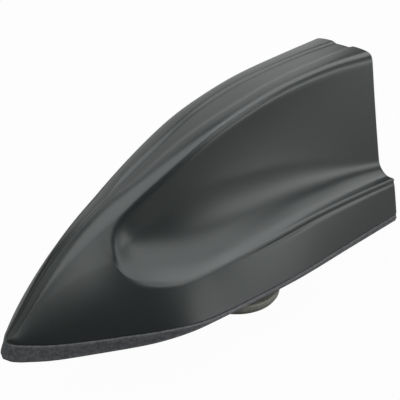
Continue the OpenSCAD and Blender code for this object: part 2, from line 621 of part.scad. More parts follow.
// Adhesive pad and ceramic patch of the satellite aerial, with the hole for the feed pin
module square_with_hole(side, h, chamfer, hole_r) {
    a = side / 2;
    b = a - chamfer;
    linear_extrude(h) difference() {
        polygon([[a, -b], [a, b], [b, a], [-b, a], [-a, b], [-a, -b], [-b, -a], [b, -a]]);
        translate([feed_offset, 0]) circle(r = hole_r, $fn = small_fn);
    }
}
module patch_pad() {
    color([0.85, 0.83, 0.76]) translate([at(patch_from_nose), 0, board_top])
        square_with_hole(pad_side, pad_t, 1, feed_r + 1);
}
module patch_aerial() {
    color([0.72, 0.66, 0.56]) translate([at(patch_from_nose), 0, board_top + pad_t]) {
        square_with_hole(patch_side, patch_h, patch_chamfer, feed_r + press_gap);
        translate([0, 0, patch_h - eps]) square_with_hole(electrode_side, 0.1, 2, feed_r + press_gap);
    }
}
module patch_feed_pin() {
    top = board_top + pad_t + patch_h + 0.1 - eps;
    color([0.86, 0.83, 0.72]) translate([at(patch_from_nose) + feed_offset, 0, 0]) {
        translate([0, 0, board_z - 0.5])
            cylinder(h = top - board_z + 0.5 + feed_head_h / 2, r = feed_r, $fn = small_fn);
        translate([0, 0, top]) cylinder(h = feed_head_h, r = feed_head_r, $fn = small_fn);
    }
}

// Sheet-metal can over the radio stage
module screening_can() {
    color([0.74, 0.75, 0.76]) translate([at(can_from_nose) - can_l / 2, -can_w / 2,
        board_top]) difference() {
        cube([can_l, can_w, can_h]);
        translate([can_t, can_t, -1]) cube([can_l - 2 * can_t, can_w - 2 * can_t, can_h - can_t + 1]);
        for (i = [1 : 3], j = [1 : 3]) translate([can_l * i / 4, can_w * j / 4, can_h - 1])
            cylinder(h = 2, r = 0.6, $fn = 16);
    }
}

// Upright phone aerial board: wide at the foot and stepped below the crown
module phone_blade() {
    length = blade_rear - blade_front;
    color([0.1, 0.36, 0.2]) translate([at(blade_front), blade_t / 2, board_top]) rotate([90, 0, 0])
        linear_extrude(blade_t) polygon([[0, 0], [length, 0], [length, blade_h], [length * 0.45, blade_h],
            [length * 0.45, blade_h - 5], [length * 0.2, blade_h - 5], [0, blade_h * 0.62]]);
}
module blade_brackets() {
    color([0.74, 0.72, 0.62]) for (s = bracket_places, side = [-1, 1])
        translate([at(s) - bracket[0] / 2, side > 0 ? blade_t / 2 : -blade_t / 2 - bracket[1],
            board_top]) difference() {
            cube(bracket);
            translate([-1, side > 0 ? 0.6 : -0.6, 0.6]) cube([bracket[0] + 2, bracket[1], bracket[2]]);
        }
}

// Former of the loading coil: a rod with a foot that lets the wire through
module coil_former() {
    color([0.82, 0.8, 0.74]) translate([at(coil_from_nose), 0, board_top]) difference() {
        union() {
            cylinder(h = former_l, r = former_r, $fn = small_fn);
            cylinder(h = former_foot_h, r = former_foot_r, $fn = round_fn);
        }
        translate([former_r, -wire_r - hole_gap, -1])
            cube([former_r, 2 * (wire_r + hole_gap), former_foot_h + 2]);
    }
}

// Loading coil: wire up from the board, round the former, then up to the contact cap
module loading_coil() {
    per_turn = 12;
    steps = coil_turns * per_turn;
    sides = 5;
    z0 = board_top + coil_start;
    z1 = z0 + coil_turns * coil_pitch;
    top = board_top + former_l;
    function spot(a, z) = [coil_r * cos(a), coil_r * sin(a), z];
    path = concat([[0, board_top], [0, z0 - 1]],
        [for (i = [0 : steps]) [360 * i / per_turn, z0 + coil_pitch * i / per_turn]],
        [[360 * coil_turns, z1 + 1], [360 * coil_turns, top]]);
    last = len(path) - 1;
    rings = [for (i = [0 : last]) let(
        along = unit(spot(path[min(i + 1, last)][0], path[min(i + 1, last)][1])
            - spot(path[max(i - 1, 0)][0], path[max(i - 1, 0)][1])),
        out = [cos(path[i][0]), sin(path[i][0]), 0], up = cross(along, out))
        [for (k = [0 : sides - 1]) spot(path[i][0], path[i][1])
            + wire_r * (out * cos(360 * k / sides) + up * sin(360 * k / sides))]];
    color([0.72, 0.45, 0.2]) translate([at(coil_from_nose), 0, 0])
        polyhedron([for (r = rings) each r], concat(
        [[for (k = [0 : sides - 1]) k], [for (k = [sides - 1 : -1 : 0]) last * sides + k]],
        [for (i = [0 : last - 1], k = [0 : sides - 1]) let(k2 = (k + 1) % sides)
            each [[i * sides + k, (i + 1) * sides + k, i * sides + k2],
                  [(i + 1) * sides + k, (i + 1) * sides + k2, i * sides + k2]]]));
}

// Height of the cover's inside under the crown panel, lowered by drop
function under_crown(s, drop) = crest_z(s) - panel_sink(s) - inner_wall(s) - press_gap - drop;
// Band that follows the crown, seen from the side, between two depths below the inside of the crown
module crown_band(from, to, top, bottom, half) {
    steps = 14;
    translate([0, half, 0]) rotate([90, 0, 0]) linear_extrude(2 * half) polygon(concat(
        [for (i = [0 : steps]) let(s = mix(from, to, i / steps)) [at(s), under_crown(s, bottom)]],
        [for (i = [steps : -1 : 0]) let(s = mix(from, to, i / steps)) [at(s), under_crown(s, top)]]));
}
sail_top = foam_t + 0.1;
carrier_top = sail_top + sail_t;

// Contact cap of the coil with the pin that touches the sail
module coil_contact() {
    cap_z = board_top + former_l;
    color([0.8, 0.74, 0.5]) translate([at(coil_from_nose), 0, cap_z]) {
        cylinder(h = cap_t, r = coil_r + wire_r, $fn = round_fn);
        cylinder(h = under_crown(coil_from_nose - contact_r, carrier_top) - cap_z - press_gap,
            r = contact_r, $fn = small_fn);
    }
}
module sail_carrier() {
    from = sail_front + 1;
    to = sail_rear - 1;
    color([0.2, 0.2, 0.22]) difference() {
        union() {
            difference() {
                crown_band(from, to, carrier_top, carrier_top + carrier_skirt, sail_half_w - sail_t);
                crown_band(from - 1, to + 1, carrier_top + carrier_t, carrier_top + carrier_skirt + 1,
                    sail_half_w - sail_t - carrier_t);
            }
            for (s = post_places) translate([at(s), 0, board_top])
                cylinder(h = under_crown(s - post_r - 2, carrier_top) - board_top - 0.3, r = post_r,
                    $fn = small_fn);
        }
        translate([at(coil_from_nose), 0, board_top + former_l])
            cylinder(h = crest_h, r = contact_hole_r, $fn = small_fn);
    }
}
module radio_sail() {
    color([0.76, 0.77, 0.78]) difference() {
        crown_band(sail_front, sail_rear, sail_top, sail_top + sail_skirt, sail_half_w);
        crown_band(sail_front - 1, sail_rear + 1, sail_top + sail_t, sail_top + sail_skirt + 1,
            sail_half_w - sail_t);
    }
}
module crown_foam() {
    color([0.3, 0.3, 0.31]) crown_band(sail_front + 2, sail_rear - 2, 0.1, sail_top, foam_half_w);
}

// Coax socket: a round housing through the base plate, with a bore for the plug, an insulating
// core that holds the pin, and ribs that key the plug
module coax_socket(s, key_angle) {
    bottom = plate_z - socket_l;
    translate([at(s), 0, 0]) difference() {
        union() {
            translate([0, 0, bottom]) cylinder(h = board_z - bottom, r = socket_r, $fn = round_fn);
            for (a = [key_angle, key_angle + 150]) rotate([0, 0, a])
                translate([socket_r - 0.5, -socket_key[0] / 2, bottom])
                    cube([socket_key[1] - 0.4, socket_key[0], socket_l - 3]);
        }
        difference() {
            translate([0, 0, bottom - 1])
                cylinder(h = socket_floor_z - bottom + 1, r = socket_bore_r, $fn = round_fn);
            translate([0, 0, bottom + socket_core_inset])
                cylinder(h = socket_floor_z - bottom, r = socket_core_r, $fn = small_fn);
        }
        translate([0, 0, bottom]) cylinder(h = board_z - bottom + 1, r = socket_pin_r + press_gap,
            $fn = small_fn);
    }
}
module front_coax_socket() {
    color([0.14, 0.3, 0.55]) coax_socket(socket_at[0], 15);
}
module rear_coax_socket() {
    color([0.5, 0.2, 0.36]) coax_socket(socket_at[1], 105);
}
module coax_pins() {
    bottom = plate_z - socket_l + socket_pin_inset;
    color([0.86, 0.76, 0.42]) for (s = socket_at) translate([at(s), 0, bottom])
        cylinder(h = board_z - bottom, r = socket_pin_r, $fn = small_fn);
}

// Spring strips that press on the plate and on the underside of the board
module ground_springs() {
    h = pillar_h;
    color([0.8, 0.76, 0.6]) for (p = spring_places) translate([at(p[0]), p[1] + spring_w / 2, plate_top])
        rotate([90, 0, 0]) linear_extrude(spring_w)
            polygon([[-3, 0], [0, 0], [2, h - spring_t], [4, h - spring_t],
            [4, h], [2 - spring_t, h], [-spring_t, spring_t], [-3, spring_t]]);
}

// Vent plug that lets air but no water through the base plate
module vent_plug() {
    color([0.88, 0.88, 0.86]) translate([at(vent_at[0]), vent_at[1], 0]) difference() {
        union() {
            translate([0, 0, plate_z - vent_flange_t])
                cylinder(h = vent_flange_t, r = vent_flange_r, $fn = small_fn);
            translate([0, 0, plate_z - vent_flange_t]) cylinder(h = plate_t + 1.2, r = vent_r, $fn = small_fn);
        }
        translate([0, 0, plate_z - 1]) cylinder(h = plate_t, r = 1, $fn = small_fn);
    }
}

fin_cover();
base_seal();
base_plate();
spigot_ring();
claw_disc();
fixing_bolt();
lock_washer();
cover_screws();
main_board();
board_screws();
board_chips();
patch_pad();
patch_aerial();
patch_feed_pin();
screening_can();
phone_blade();
blade_brackets();
coil_former();
loading_coil();
coil_contact();
sail_carrier();
radio_sail();
crown_foam();
front_coax_socket();
rear_coax_socket();
coax_pins();
ground_springs();
vent_plug();
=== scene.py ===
"""Looks of a shark fin roof aerial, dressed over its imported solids.

Lengths in the classes are millimetres, as on a workshop drawing. They become metres where a mesh
takes its places. The nose points to -X, the car's right-hand side is +Y, and up is +Z.
"""

import json
import logging
import math
from dataclasses import dataclass, field
from enum import Enum

import bpy
import numpy as np
from mathutils import Matrix, Vector

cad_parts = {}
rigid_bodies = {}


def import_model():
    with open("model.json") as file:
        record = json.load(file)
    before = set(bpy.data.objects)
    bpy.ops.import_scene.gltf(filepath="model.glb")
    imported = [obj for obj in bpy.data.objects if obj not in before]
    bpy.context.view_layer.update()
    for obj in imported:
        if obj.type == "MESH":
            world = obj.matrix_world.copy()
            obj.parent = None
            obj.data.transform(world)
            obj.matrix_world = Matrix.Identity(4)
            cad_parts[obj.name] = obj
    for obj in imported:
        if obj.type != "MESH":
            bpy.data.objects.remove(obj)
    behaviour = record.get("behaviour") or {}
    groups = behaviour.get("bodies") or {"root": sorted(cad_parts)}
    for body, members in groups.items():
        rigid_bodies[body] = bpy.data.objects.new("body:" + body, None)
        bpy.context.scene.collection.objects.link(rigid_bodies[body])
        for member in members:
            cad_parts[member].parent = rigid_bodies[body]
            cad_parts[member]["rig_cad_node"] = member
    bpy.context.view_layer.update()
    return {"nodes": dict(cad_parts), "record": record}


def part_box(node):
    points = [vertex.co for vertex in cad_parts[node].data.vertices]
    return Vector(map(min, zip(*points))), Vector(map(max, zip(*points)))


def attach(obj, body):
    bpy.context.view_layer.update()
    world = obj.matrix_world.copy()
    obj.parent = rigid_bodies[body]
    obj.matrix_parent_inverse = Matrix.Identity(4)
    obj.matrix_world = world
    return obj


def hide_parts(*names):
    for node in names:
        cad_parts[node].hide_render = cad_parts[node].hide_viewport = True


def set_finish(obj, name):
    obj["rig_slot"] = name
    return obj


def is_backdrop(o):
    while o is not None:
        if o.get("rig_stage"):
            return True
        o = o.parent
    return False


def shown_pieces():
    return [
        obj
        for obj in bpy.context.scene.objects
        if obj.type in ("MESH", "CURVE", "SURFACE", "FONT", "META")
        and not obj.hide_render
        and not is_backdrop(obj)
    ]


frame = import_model()

LOG = logging.getLogger("aerial")
MM = 0.001
Pairs = tuple[tuple[float, float], ...]
Colour = tuple[float, float, float]
Number = float | np.ndarray
Tree = bpy.types.NodeTree
Node = bpy.types.Node
Socket = bpy.types.NodeSocket
Value = Socket | float | tuple[float, ...]
WHITE: Colour = (1.0, 1.0, 1.0)
# Places of the colour sockets on a Mix node: the two inputs and the output
MIX_A, MIX_B, MIX_RESULT = 6, 7, 2


def mix(a: Number, b: Number, t: Number) -> Number:
    """Value between a and b at the share t."""
    return a + (b - a) * t


def clamp(t: Number, low: Number = 0.0, high: Number = 1.0) -> Number:
    """t held between low and high."""
    return np.clip(t, low, high)


def unit(v: np.ndarray) -> np.ndarray:
    """v, or each row of v, at length 1."""
    return v / np.maximum(np.linalg.norm(v, axis=-1, keepdims=True), 1e-9)


def cross(a: np.ndarray, b: np.ndarray) -> float:
    """Area between two directions in a plane."""
    return a[0] * b[1] - a[1] * b[0]


def bell(d: np.ndarray, middle: float, width: float) -> np.ndarray:
    """Bell curve of height 1 over the distances d."""
    return np.exp(-((d - middle) / width) ** 2)


def run_of(line: np.ndarray) -> np.ndarray:
    """Length along a line at each of its points."""
    return np.concatenate(([0.0], np.cumsum(np.linalg.norm(np.diff(line, axis=0), axis=1))))


def read_at(aim: np.ndarray, run: np.ndarray, line: np.ndarray) -> np.ndarray:
    """Points at the lengths aim on a line whose own points lie at the lengths run."""
    return np.column_stack([np.interp(aim, run, line[:, k]) for k in range(2)])


def square_to(line: np.ndarray) -> np.ndarray:
    """Directions a quarter turn clockwise from those in the rows of line."""
    return np.column_stack((line[:, 1], -line[:, 0]))


def softened(before: np.ndarray, rows: np.ndarray, after: np.ndarray, step: float) -> np.ndarray:
    """Evenly spaced rows, evened out by a bell curve.

    Args:
        before: Rows added ahead of the first, as many as the curve reaches.
        rows: The rows.
        after: As many rows added behind the last.
        step: Spacing of the rows as a share of the curve's spread.

    Returns:
        The softened rows.
    """
    reach = len(before)
    kernel = np.exp(-(np.arange(-reach, reach + 1) * step) ** 2 / 2)
    kernel /= kernel.sum()
    padded = np.vstack((before, rows, after))
    return np.column_stack([np.convolve(padded[:, k], kernel, mode="valid") for k in range(2)])


def evened(at: np.ndarray, rows: np.ndarray, reach: np.ndarray) -> np.ndarray:
    """Unevenly spaced rows, evened out over a reach of their own, with slopes kept.

    Args:
        at: Place of each row.
        rows: The rows, of any shape.
        reach: Distance over which each row is evened out.

    Returns:
        The evened rows.
    """
    flat = rows.reshape(len(rows), -1)
    weights = np.exp(-((at[None] - at[:, None]) / reach[:, None]) ** 2 / 2) * np.gradient(at)[None]
    weights /= weights.sum(axis=1, keepdims=True)
    shift = (at - weights @ at)[:, None]
    return (weights @ flat + np.gradient(flat, at, axis=0) * shift).reshape(rows.shape)


def direction(azimuth: float, elevation: float) -> Vector:
    """Way from the part to a place at these angles in degrees."""
    az, el = math.radians(azimuth), math.radians(elevation)
    return Vector((math.sin(az) * math.cos(el), -math.cos(az) * math.cos(el), math.sin(el)))


@dataclass(frozen=True)
class ShapeCurve:
    """Share of a size against a share of the length, as one fair curve through its pairs."""

    pairs: Pairs
    ease: float = 0.022

    def raw(self, u: np.ndarray) -> np.ndarray:
        """Cubic curve through the pairs.

        Args:
            u: Shares of the length.

        Returns:
            The curve's value at each share.
        """
        x, y = (np.array(c) for c in zip(*self.pairs))
        below = np.maximum(np.arange(len(x)) - 1, 0)
        above = np.minimum(np.arange(len(x)) + 1, len(x) - 1)
        m = (y[above] - y[below]) / (x[above] - x[below])
        u = np.clip(u, x[0], x[-1])
        i = np.clip(np.searchsorted(x, u, side="left") - 1, 0, len(x) - 2)
        h = x[i + 1] - x[i]
        t = (u - x[i]) / h
        return (y[i] * (1 + 2 * t) * (1 - t) ** 2 + m[i] * h * t * (1 - t) ** 2
                + y[i + 1] * t * t * (3 - 2 * t) - m[i + 1] * h * t * t * (1 - t))

    def at(self, u: Number) -> np.ndarray:
        """Value at the shares u, with small unevenness smoothed out."""
        u = np.atleast_1d(np.asarray(u, float))
        steps = np.linspace(-3, 3, 25)
        weights = np.exp(-steps ** 2 / 2)
        first, last = self.pairs[0], self.pairs[-1]
        total = np.zeros(len(u))
        for step, weight in zip(steps, weights):
            v = u + step * self.ease
            mirrored = np.where(v < first[0], 2 * first[0] - v, v)
            mirrored = np.where(v > last[0], 2 * last[0] - v, mirrored)
            value = self.raw(mirrored)
            value = np.where(v < first[0], 2 * first[1] - value, value)
            value = np.where(v > last[0], 2 * last[1] - value, value)
            total += weight * value
        return total / weights.sum()


def clear_selection() -> None:
    """Leaves object mode with nothing selected."""
    if bpy.context.object and bpy.context.object.mode != "OBJECT":
        bpy.ops.object.mode_set(mode="OBJECT")
    bpy.ops.object.select_all(action="DESELECT")


def pick(obj: bpy.types.Object) -> None:
    """Makes obj the only selected object, and the active one."""
    clear_selection()
    obj.select_set(True)
    bpy.context.view_layer.objects.active = obj


def reshape(obj: bpy.types.Object, places: np.ndarray) -> None:
    """Moves a mesh's vertices to places given in millimetres."""
    obj.data.vertices.foreach_set("co", (np.asarray(places, float) * MM).ravel())
    obj.data.update()


def places_of(obj: bpy.types.Object) -> np.ndarray:
    """Vertex places of a mesh, as they are stored."""
    flat = np.empty(len(obj.data.vertices) * 3)
    obj.data.vertices.foreach_get("co", flat)
    return flat.reshape(-1, 3)


def sheet_over(name: str, points: np.ndarray) -> tuple[bpy.types.Object, np.ndarray]:
    """Grid primitive drawn over an array of points.

    Args:
        name: Name of the piece.
        points: Rows by columns by 3, in millimetres.

    Returns:
        The sheet, with no thickness, and the number of each vertex by row and column.
    """
    rows, columns = points.shape[:2]
    clear_selection()
    bpy.ops.mesh.primitive_grid_add(x_subdivisions=rows - 1, y_subdivisions=columns - 1, size=1.0,
                                    location=(0, 0, 0))
    sheet = bpy.context.object
    sheet.name = sheet.data.name = name
    co = places_of(sheet)
    i = np.rint((co[:, 0] + 0.5) * (rows - 1)).astype(int)
    j = np.rint((co[:, 1] + 0.5) * (columns - 1)).astype(int)
    reshape(sheet, points[i, j])
    numbers = np.empty((rows, columns), int)
    numbers[i, j] = np.arange(len(co))
    return sheet, numbers


def ring_over(name: str, points: np.ndarray) -> bpy.types.Object:
    """Torus primitive drawn over an array of points that closes both ways.

    Args:
        name: Name of the piece.
        points: Places round the loop by places round the profile by 3, in millimetres.

    Returns:
        The closed ring.
    """
    around, across = points.shape[:2]
    clear_selection()
    bpy.ops.mesh.primitive_torus_add(major_segments=around, minor_segments=across, major_radius=1.0,
                                     minor_radius=0.25, location=(0, 0, 0))
    ring = bpy.context.object
    ring.name = ring.data.name = name
    co = places_of(ring)
    turn = np.arctan2(co[:, 1], co[:, 0]) / math.tau * around
    tube = np.arctan2(co[:, 2], np.hypot(co[:, 0], co[:, 1]) - 1.0) / math.tau * across
    reshape(ring, points[np.rint(turn).astype(int) % around, np.rint(tube).astype(int) % across])
    return ring


def edit(obj: bpy.types.Object, kind: str = "VERT") -> None:
    """Opens obj in edit mode with nothing of it selected."""
    pick(obj)
    bpy.ops.object.mode_set(mode="EDIT")
    bpy.ops.mesh.select_mode(type=kind)
    bpy.ops.mesh.select_all(action="DESELECT")


def fill_row(obj: bpy.types.Object, numbers: np.ndarray) -> None:
    """Fills the end of a sheet with one face.

    Args:
        obj: Sheet whose end is open.
        numbers: Numbers of the vertices along that end.
    """
    edit(obj, "VERT")
    bpy.ops.object.mode_set(mode="OBJECT")
    wanted = np.zeros(len(obj.data.vertices), bool)
    wanted[numbers] = True
    obj.data.vertices.foreach_set("select", wanted)
    for edge in obj.data.edges:
        edge.select = bool(wanted[edge.vertices[0]] and wanted[edge.vertices[1]])
    bpy.ops.object.mode_set(mode="EDIT")
    bpy.ops.mesh.edge_face_add()
    bpy.ops.object.mode_set(mode="OBJECT")


def join_all(first: bpy.types.Object, *others: bpy.types.Object) -> None:
    """Joins other pieces into the first one."""
    pick(first)
    for other in others:
        other.select_set(True)
    bpy.ops.object.join()


def close_up(obj: bpy.types.Object, reach: float = 1e-6) -> None:
    """Merges doubles, turns the faces outwards and leaves edit mode.

    Args:
        obj: Piece to close.
        reach: Distance in metres under which two vertices are one.
    """
    edit(obj)
    bpy.ops.mesh.select_all(action="SELECT")
    bpy.ops.mesh.remove_doubles(threshold=reach)
    bpy.ops.mesh.normals_make_consistent(inside=False)
    bpy.ops.object.mode_set(mode="OBJECT")


def smooth(obj: bpy.types.Object, angle: float = 32.0) -> None:
    """Smooth shading, with creases kept where faces meet at more than the angle in degrees."""
    pick(obj)
    bpy.ops.object.shade_smooth_by_angle(angle=math.radians(angle))
    clear_selection()


def seat(obj: bpy.types.Object, slot: str, *nodes: str) -> bpy.types.Object:
    """Ties a piece to the frame.

    Args:
        obj: Finished piece, with its place in its mesh.
        slot: Material slot of the record that it takes its finish from.
        nodes: CAD nodes that it stands for.

    Returns:
        The same piece.
    """
    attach(obj, "root")
    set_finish(obj, slot)
    if nodes:
        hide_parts(*nodes)
    LOG.info("%s: %d faces, for %s", obj.name, len(obj.data.polygons), ", ".join(nodes) or "itself")
    return obj


def feed(tree: Tree, socket: Socket, value: Value) -> None:
    """Links a socket to another one, or gives it a plain value."""
    if isinstance(value, Socket):
        tree.links.new(value, socket)
    else:
        socket.default_value = (*value, 1.0) if socket.type == "RGBA" else value


def add_node(tree: Tree, kind: str, inputs: dict[str | int, Value] | None = None,
             **settings: object) -> Node:
    """New node of a tree.

    Args:
        tree: Tree that it joins.
        kind: Its type.
        inputs: Sockets or plain values for its inputs, by name or number.
        settings: Its own settings, made before its inputs are fed.

    Returns:
        The node.
    """
    node = tree.nodes.new("ShaderNode" + kind)
    for key, value in settings.items():
        setattr(node, key, value)
    for key, value in (inputs or {}).items():
        feed(tree, node.inputs[key], value)
    return node


def calculate(tree: Tree, operation: str, *values: Value) -> Socket:
    """Result of a Math node on sockets or plain numbers."""
    return add_node(tree, "Math", dict(enumerate(values)), operation=operation).outputs[0]


def map_range(tree: Tree, value: Socket, low: float, high: float,
              to_low: float = 0.0, to_high: float = 1.0) -> Socket:
    """A value carried from low..high to to_low..to_high."""
    return add_node(tree, "MapRange", {"Value": value, "From Min": low, "From Max": high,
                                       "To Min": to_low, "To Max": to_high}).outputs[0]


def blend(tree: Tree, share: Socket, a: Value, b: Value) -> Socket:
    """Colour between a and b, each a colour or a socket, at the share."""
    inputs = {"Factor": share, MIX_A: a, MIX_B: b}
    return add_node(tree, "Mix", inputs, data_type="RGBA").outputs[MIX_RESULT]


def noise(tree: Tree, place: Socket, scale: Value, detail: float = 2.0,
          rough: float = 0.5) -> Socket:
    """Noise texture read at place."""
    return add_node(tree, "TexNoise", {"Vector": place, "Scale": scale, "Detail": detail,
                                       "Roughness": rough}).outputs["Fac"]


class Paint:
    """Node groups that the finishes share, each built once."""

    def __init__(self) -> None:
        """Builds the groups."""
        self.grain = self._grain()
        self.mottle = self._mottle()
        self.scuffs = self._scuffs()

    @staticmethod
    def _group(name: str, inputs: dict[str, float], *outputs: str) -> tuple[Tree, Node, Node]:
        """New node group that reads a place.

        Args:
            name: Name of the group.
            inputs: Names of its value sockets, with their starting values.
            outputs: Names of the value sockets that it puts out.

        Returns:
            The tree, its input node and its output node.
        """
        tree = bpy.data.node_groups.new(name, "ShaderNodeTree")
        new = tree.interface.new_socket
        new(name="Place", in_out="INPUT", socket_type="NodeSocketVector")
        for key, value in inputs.items():
            new(name=key, in_out="INPUT", socket_type="NodeSocketFloat").default_value = value
        for key in outputs:
            new(name=key, in_out="OUTPUT", socket_type="NodeSocketFloat")
        return tree, tree.nodes.new("NodeGroupInput"), tree.nodes.new("NodeGroupOutput")

    def _grain(self) -> Tree:
        """Moulded or cast grain: pebbles of one size over a finer tooth."""
        tree, into, out = self._group("surface_grain", {"Per metre": 2500.0}, "Height", "Speck")
        place, scale = into.outputs["Place"], into.outputs["Per metre"]
        cells = add_node(tree, "TexVoronoi", {"Vector": place, "Scale": scale, "Smoothness": 0.6},
                         feature="SMOOTH_F1")
        tooth = noise(tree, place, calculate(tree, "MULTIPLY", scale, 2.3), 3.0, 0.6)
        pebble = calculate(tree, "SUBTRACT", 1.0, cells.outputs["Distance"])
        part = calculate(tree, "MULTIPLY", tooth, 0.5)
        feed(tree, out.inputs["Height"], calculate(tree, "ADD", pebble, part))
        feed(tree, out.inputs["Speck"], tooth)
        return tree

    def _mottle(self) -> Tree:
        """Slow unevenness of tone, with its contrast as an input."""
        tree, into, out = self._group("tone_mottle", {"Per metre": 150.0, "Contrast": 1.0}, "Share")
        wide = noise(tree, into.outputs["Place"], into.outputs["Per metre"], 4.0, 0.55)
        centred = calculate(tree, "SUBTRACT", wide, 0.5)
        scaled = calculate(tree, "MULTIPLY", centred, into.outputs["Contrast"])
        share = add_node(tree, "Clamp", {"Value": calculate(tree, "ADD", scaled, 0.5)})
        feed(tree, out.inputs["Share"], share.outputs[0])
        return tree

    def _scuffs(self) -> Tree:
        """Short rubbed marks and dust specks: 1 on a mark, 0 elsewhere."""
        tree, into, out = self._group("rub_marks", {"Per metre": 60.0, "Amount": 0.3}, "Mask")
        place, scale = into.outputs["Place"], into.outputs["Per metre"]
        stretch = add_node(tree, "Mapping", {"Vector": place, "Scale": (0.35, 1.0, 2.2),
                                             "Rotation": (0.3, 0.5, 0.2)})
        streak = noise(tree, stretch.outputs[0], calculate(tree, "MULTIPLY", scale, 18.0))
        both = calculate(tree, "MULTIPLY", streak, noise(tree, place, scale))
        mask = map_range(tree, both, 0.36, 0.50)
        feed(tree, out.inputs["Mask"],
             calculate(tree, "MULTIPLY", mask, into.outputs["Amount"]))
        return tree


class Pattern(Enum):
    """Pattern that a finish adds over its grain."""

    NONE = "none"
    TRACKS = "tracks"
    PORES = "pores"
    ELECTRODE = "electrode"
    SPUN = "spun"


@dataclass(frozen=True)
class Finish:
    """A surface finish: its colours, gloss and grain, with sizes in millimetres."""

    slot: str
    colour: Colour
    second: Colour
    roughness: float
    metallic: float = 0.0
    grain: float = 0.4
    grain_depth: float = 0.1
    grain_height: float = 0.02
    mottle: float = 8.0
    contrast: float = 1.6
    gloss_play: float = 0.06
    marks: float = 0.1
    mark_colour: Colour = (0.3, 0.3, 0.3)
    specular: float = 0.5
    reflection: Colour = (1.0, 1.0, 1.0)
    pattern: Pattern = Pattern.NONE

    def material(self, paint: Paint) -> bpy.types.Material:
        """Procedural material of this finish.

        Args:
            paint: The shared node groups.

        Returns:
            The material.
        """
        made = bpy.data.materials.new(self.slot)
        made.use_nodes = True
        tree = made.node_tree
        place = add_node(tree, "TexCoord").outputs["Object"]
        grain = add_node(tree, "Group", {"Place": place, "Per metre": 1 / MM / self.grain},
                         node_tree=paint.grain)
        mottle = add_node(tree, "Group", {"Place": place, "Per metre": 1 / MM / self.mottle,
                                          "Contrast": self.contrast}, node_tree=paint.mottle)
        marks = add_node(tree, "Group", {"Place": place, "Amount": self.marks},
                         node_tree=paint.scuffs)
        tone = blend(tree, mottle.outputs["Share"], self.colour, self.second)
        tone, height = self._patterned(tree, place, tone, grain.outputs["Height"])
        bump = add_node(tree, "Bump", {"Strength": self.grain_depth, "Height": height,
                                       "Distance": self.grain_height * MM})
        worn = {
            "Base Color": blend(tree, marks.outputs["Mask"], tone, self.mark_colour),
            "Roughness": map_range(tree, grain.outputs["Speck"], 0.0, 1.0,
                                   self.roughness - self.gloss_play,
                                   self.roughness + self.gloss_play),
            "Normal": bump.outputs[0],
            "Metallic": self.metallic,
            "Specular IOR Level": self.specular,
            "Specular Tint": self.reflection,
        }
        for key, value in worn.items():
            feed(tree, tree.nodes["Principled BSDF"].inputs[key], value)
        return made

    def _patterned(self, tree: Tree, place: Socket, tone: Socket,
                   height: Socket) -> tuple[Socket, Socket]:
        """Adds the finish's pattern to its tone and height.

        Args:
            tree: Tree of the material.
            place: Socket with the object's coordinates.
            tone: Socket with the colour so far.
            height: Socket with the grain's height.

        Returns:
            The sockets of the new colour and height.
        """
        if self.pattern is Pattern.TRACKS:
            wires = add_node(tree, "TexBrick", {"Vector": place, "Scale": 260.0, "Row Height": 0.42,
                                                "Mortar Size": 0.06, "Brick Width": 1.7})
            dots = add_node(tree, "TexVoronoi", {"Vector": place, "Scale": 240.0})
            track = map_range(tree, wires.outputs["Fac"], 0.2, 0.8)
            tone = blend(tree, track, tone, tuple(min(1.0, 2.1 * c) for c in self.colour))
            pad = map_range(tree, dots.outputs["Distance"], 0.12, 0.10)
            return blend(tree, pad, tone, (0.62, 0.60, 0.54)), track
        if self.pattern is Pattern.PORES:
            cells = add_node(tree, "TexVoronoi", {"Vector": place, "Scale": 1600.0})
            away = cells.outputs["Distance"]
            # Painted shade in the pores: where the bump sinks a pore, the colour falls to 0.35 of
            # the foam's own, standing in for the shade inside each hollow.
            pore_shade = tuple(0.35 * c for c in self.colour)
            shaded = blend(tree, map_range(tree, away, 0.30, 0.05), tone, pore_shade)
            return shaded, map_range(tree, away, 0.05, 0.45)
        if self.pattern is Pattern.ELECTRODE:
            low, high = (np.array(corner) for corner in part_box("patch_aerial"))
            half = (high - low) / 2
            side = half[0] - 3 * MM
            shifted = add_node(tree, "VectorMath", {0: place, 1: tuple((low + high) / 2)},
                               operation="SUBTRACT")
            split = add_node(tree, "SeparateXYZ", {0: shifted.outputs[0]})
            plated = map_range(tree, split.outputs[2], half[2] - 0.3 * MM, half[2] - 0.2 * MM)
            for axis in range(2):
                away = calculate(tree, "ABSOLUTE", split.outputs[axis])
                inside = map_range(tree, away, side + 0.1 * MM, side)
                plated = calculate(tree, "MULTIPLY", plated, inside)
            return blend(tree, plated, tone, (0.66, 0.65, 0.61)), height
        if self.pattern is Pattern.SPUN:
            rings = add_node(tree, "TexWave", {"Vector": place, "Scale": 900.0, "Distortion": 1.5},
                             wave_type="RINGS", rings_direction="Z")
            return tone, calculate(tree, "ADD", height, rings.outputs["Fac"])
        return tone, height


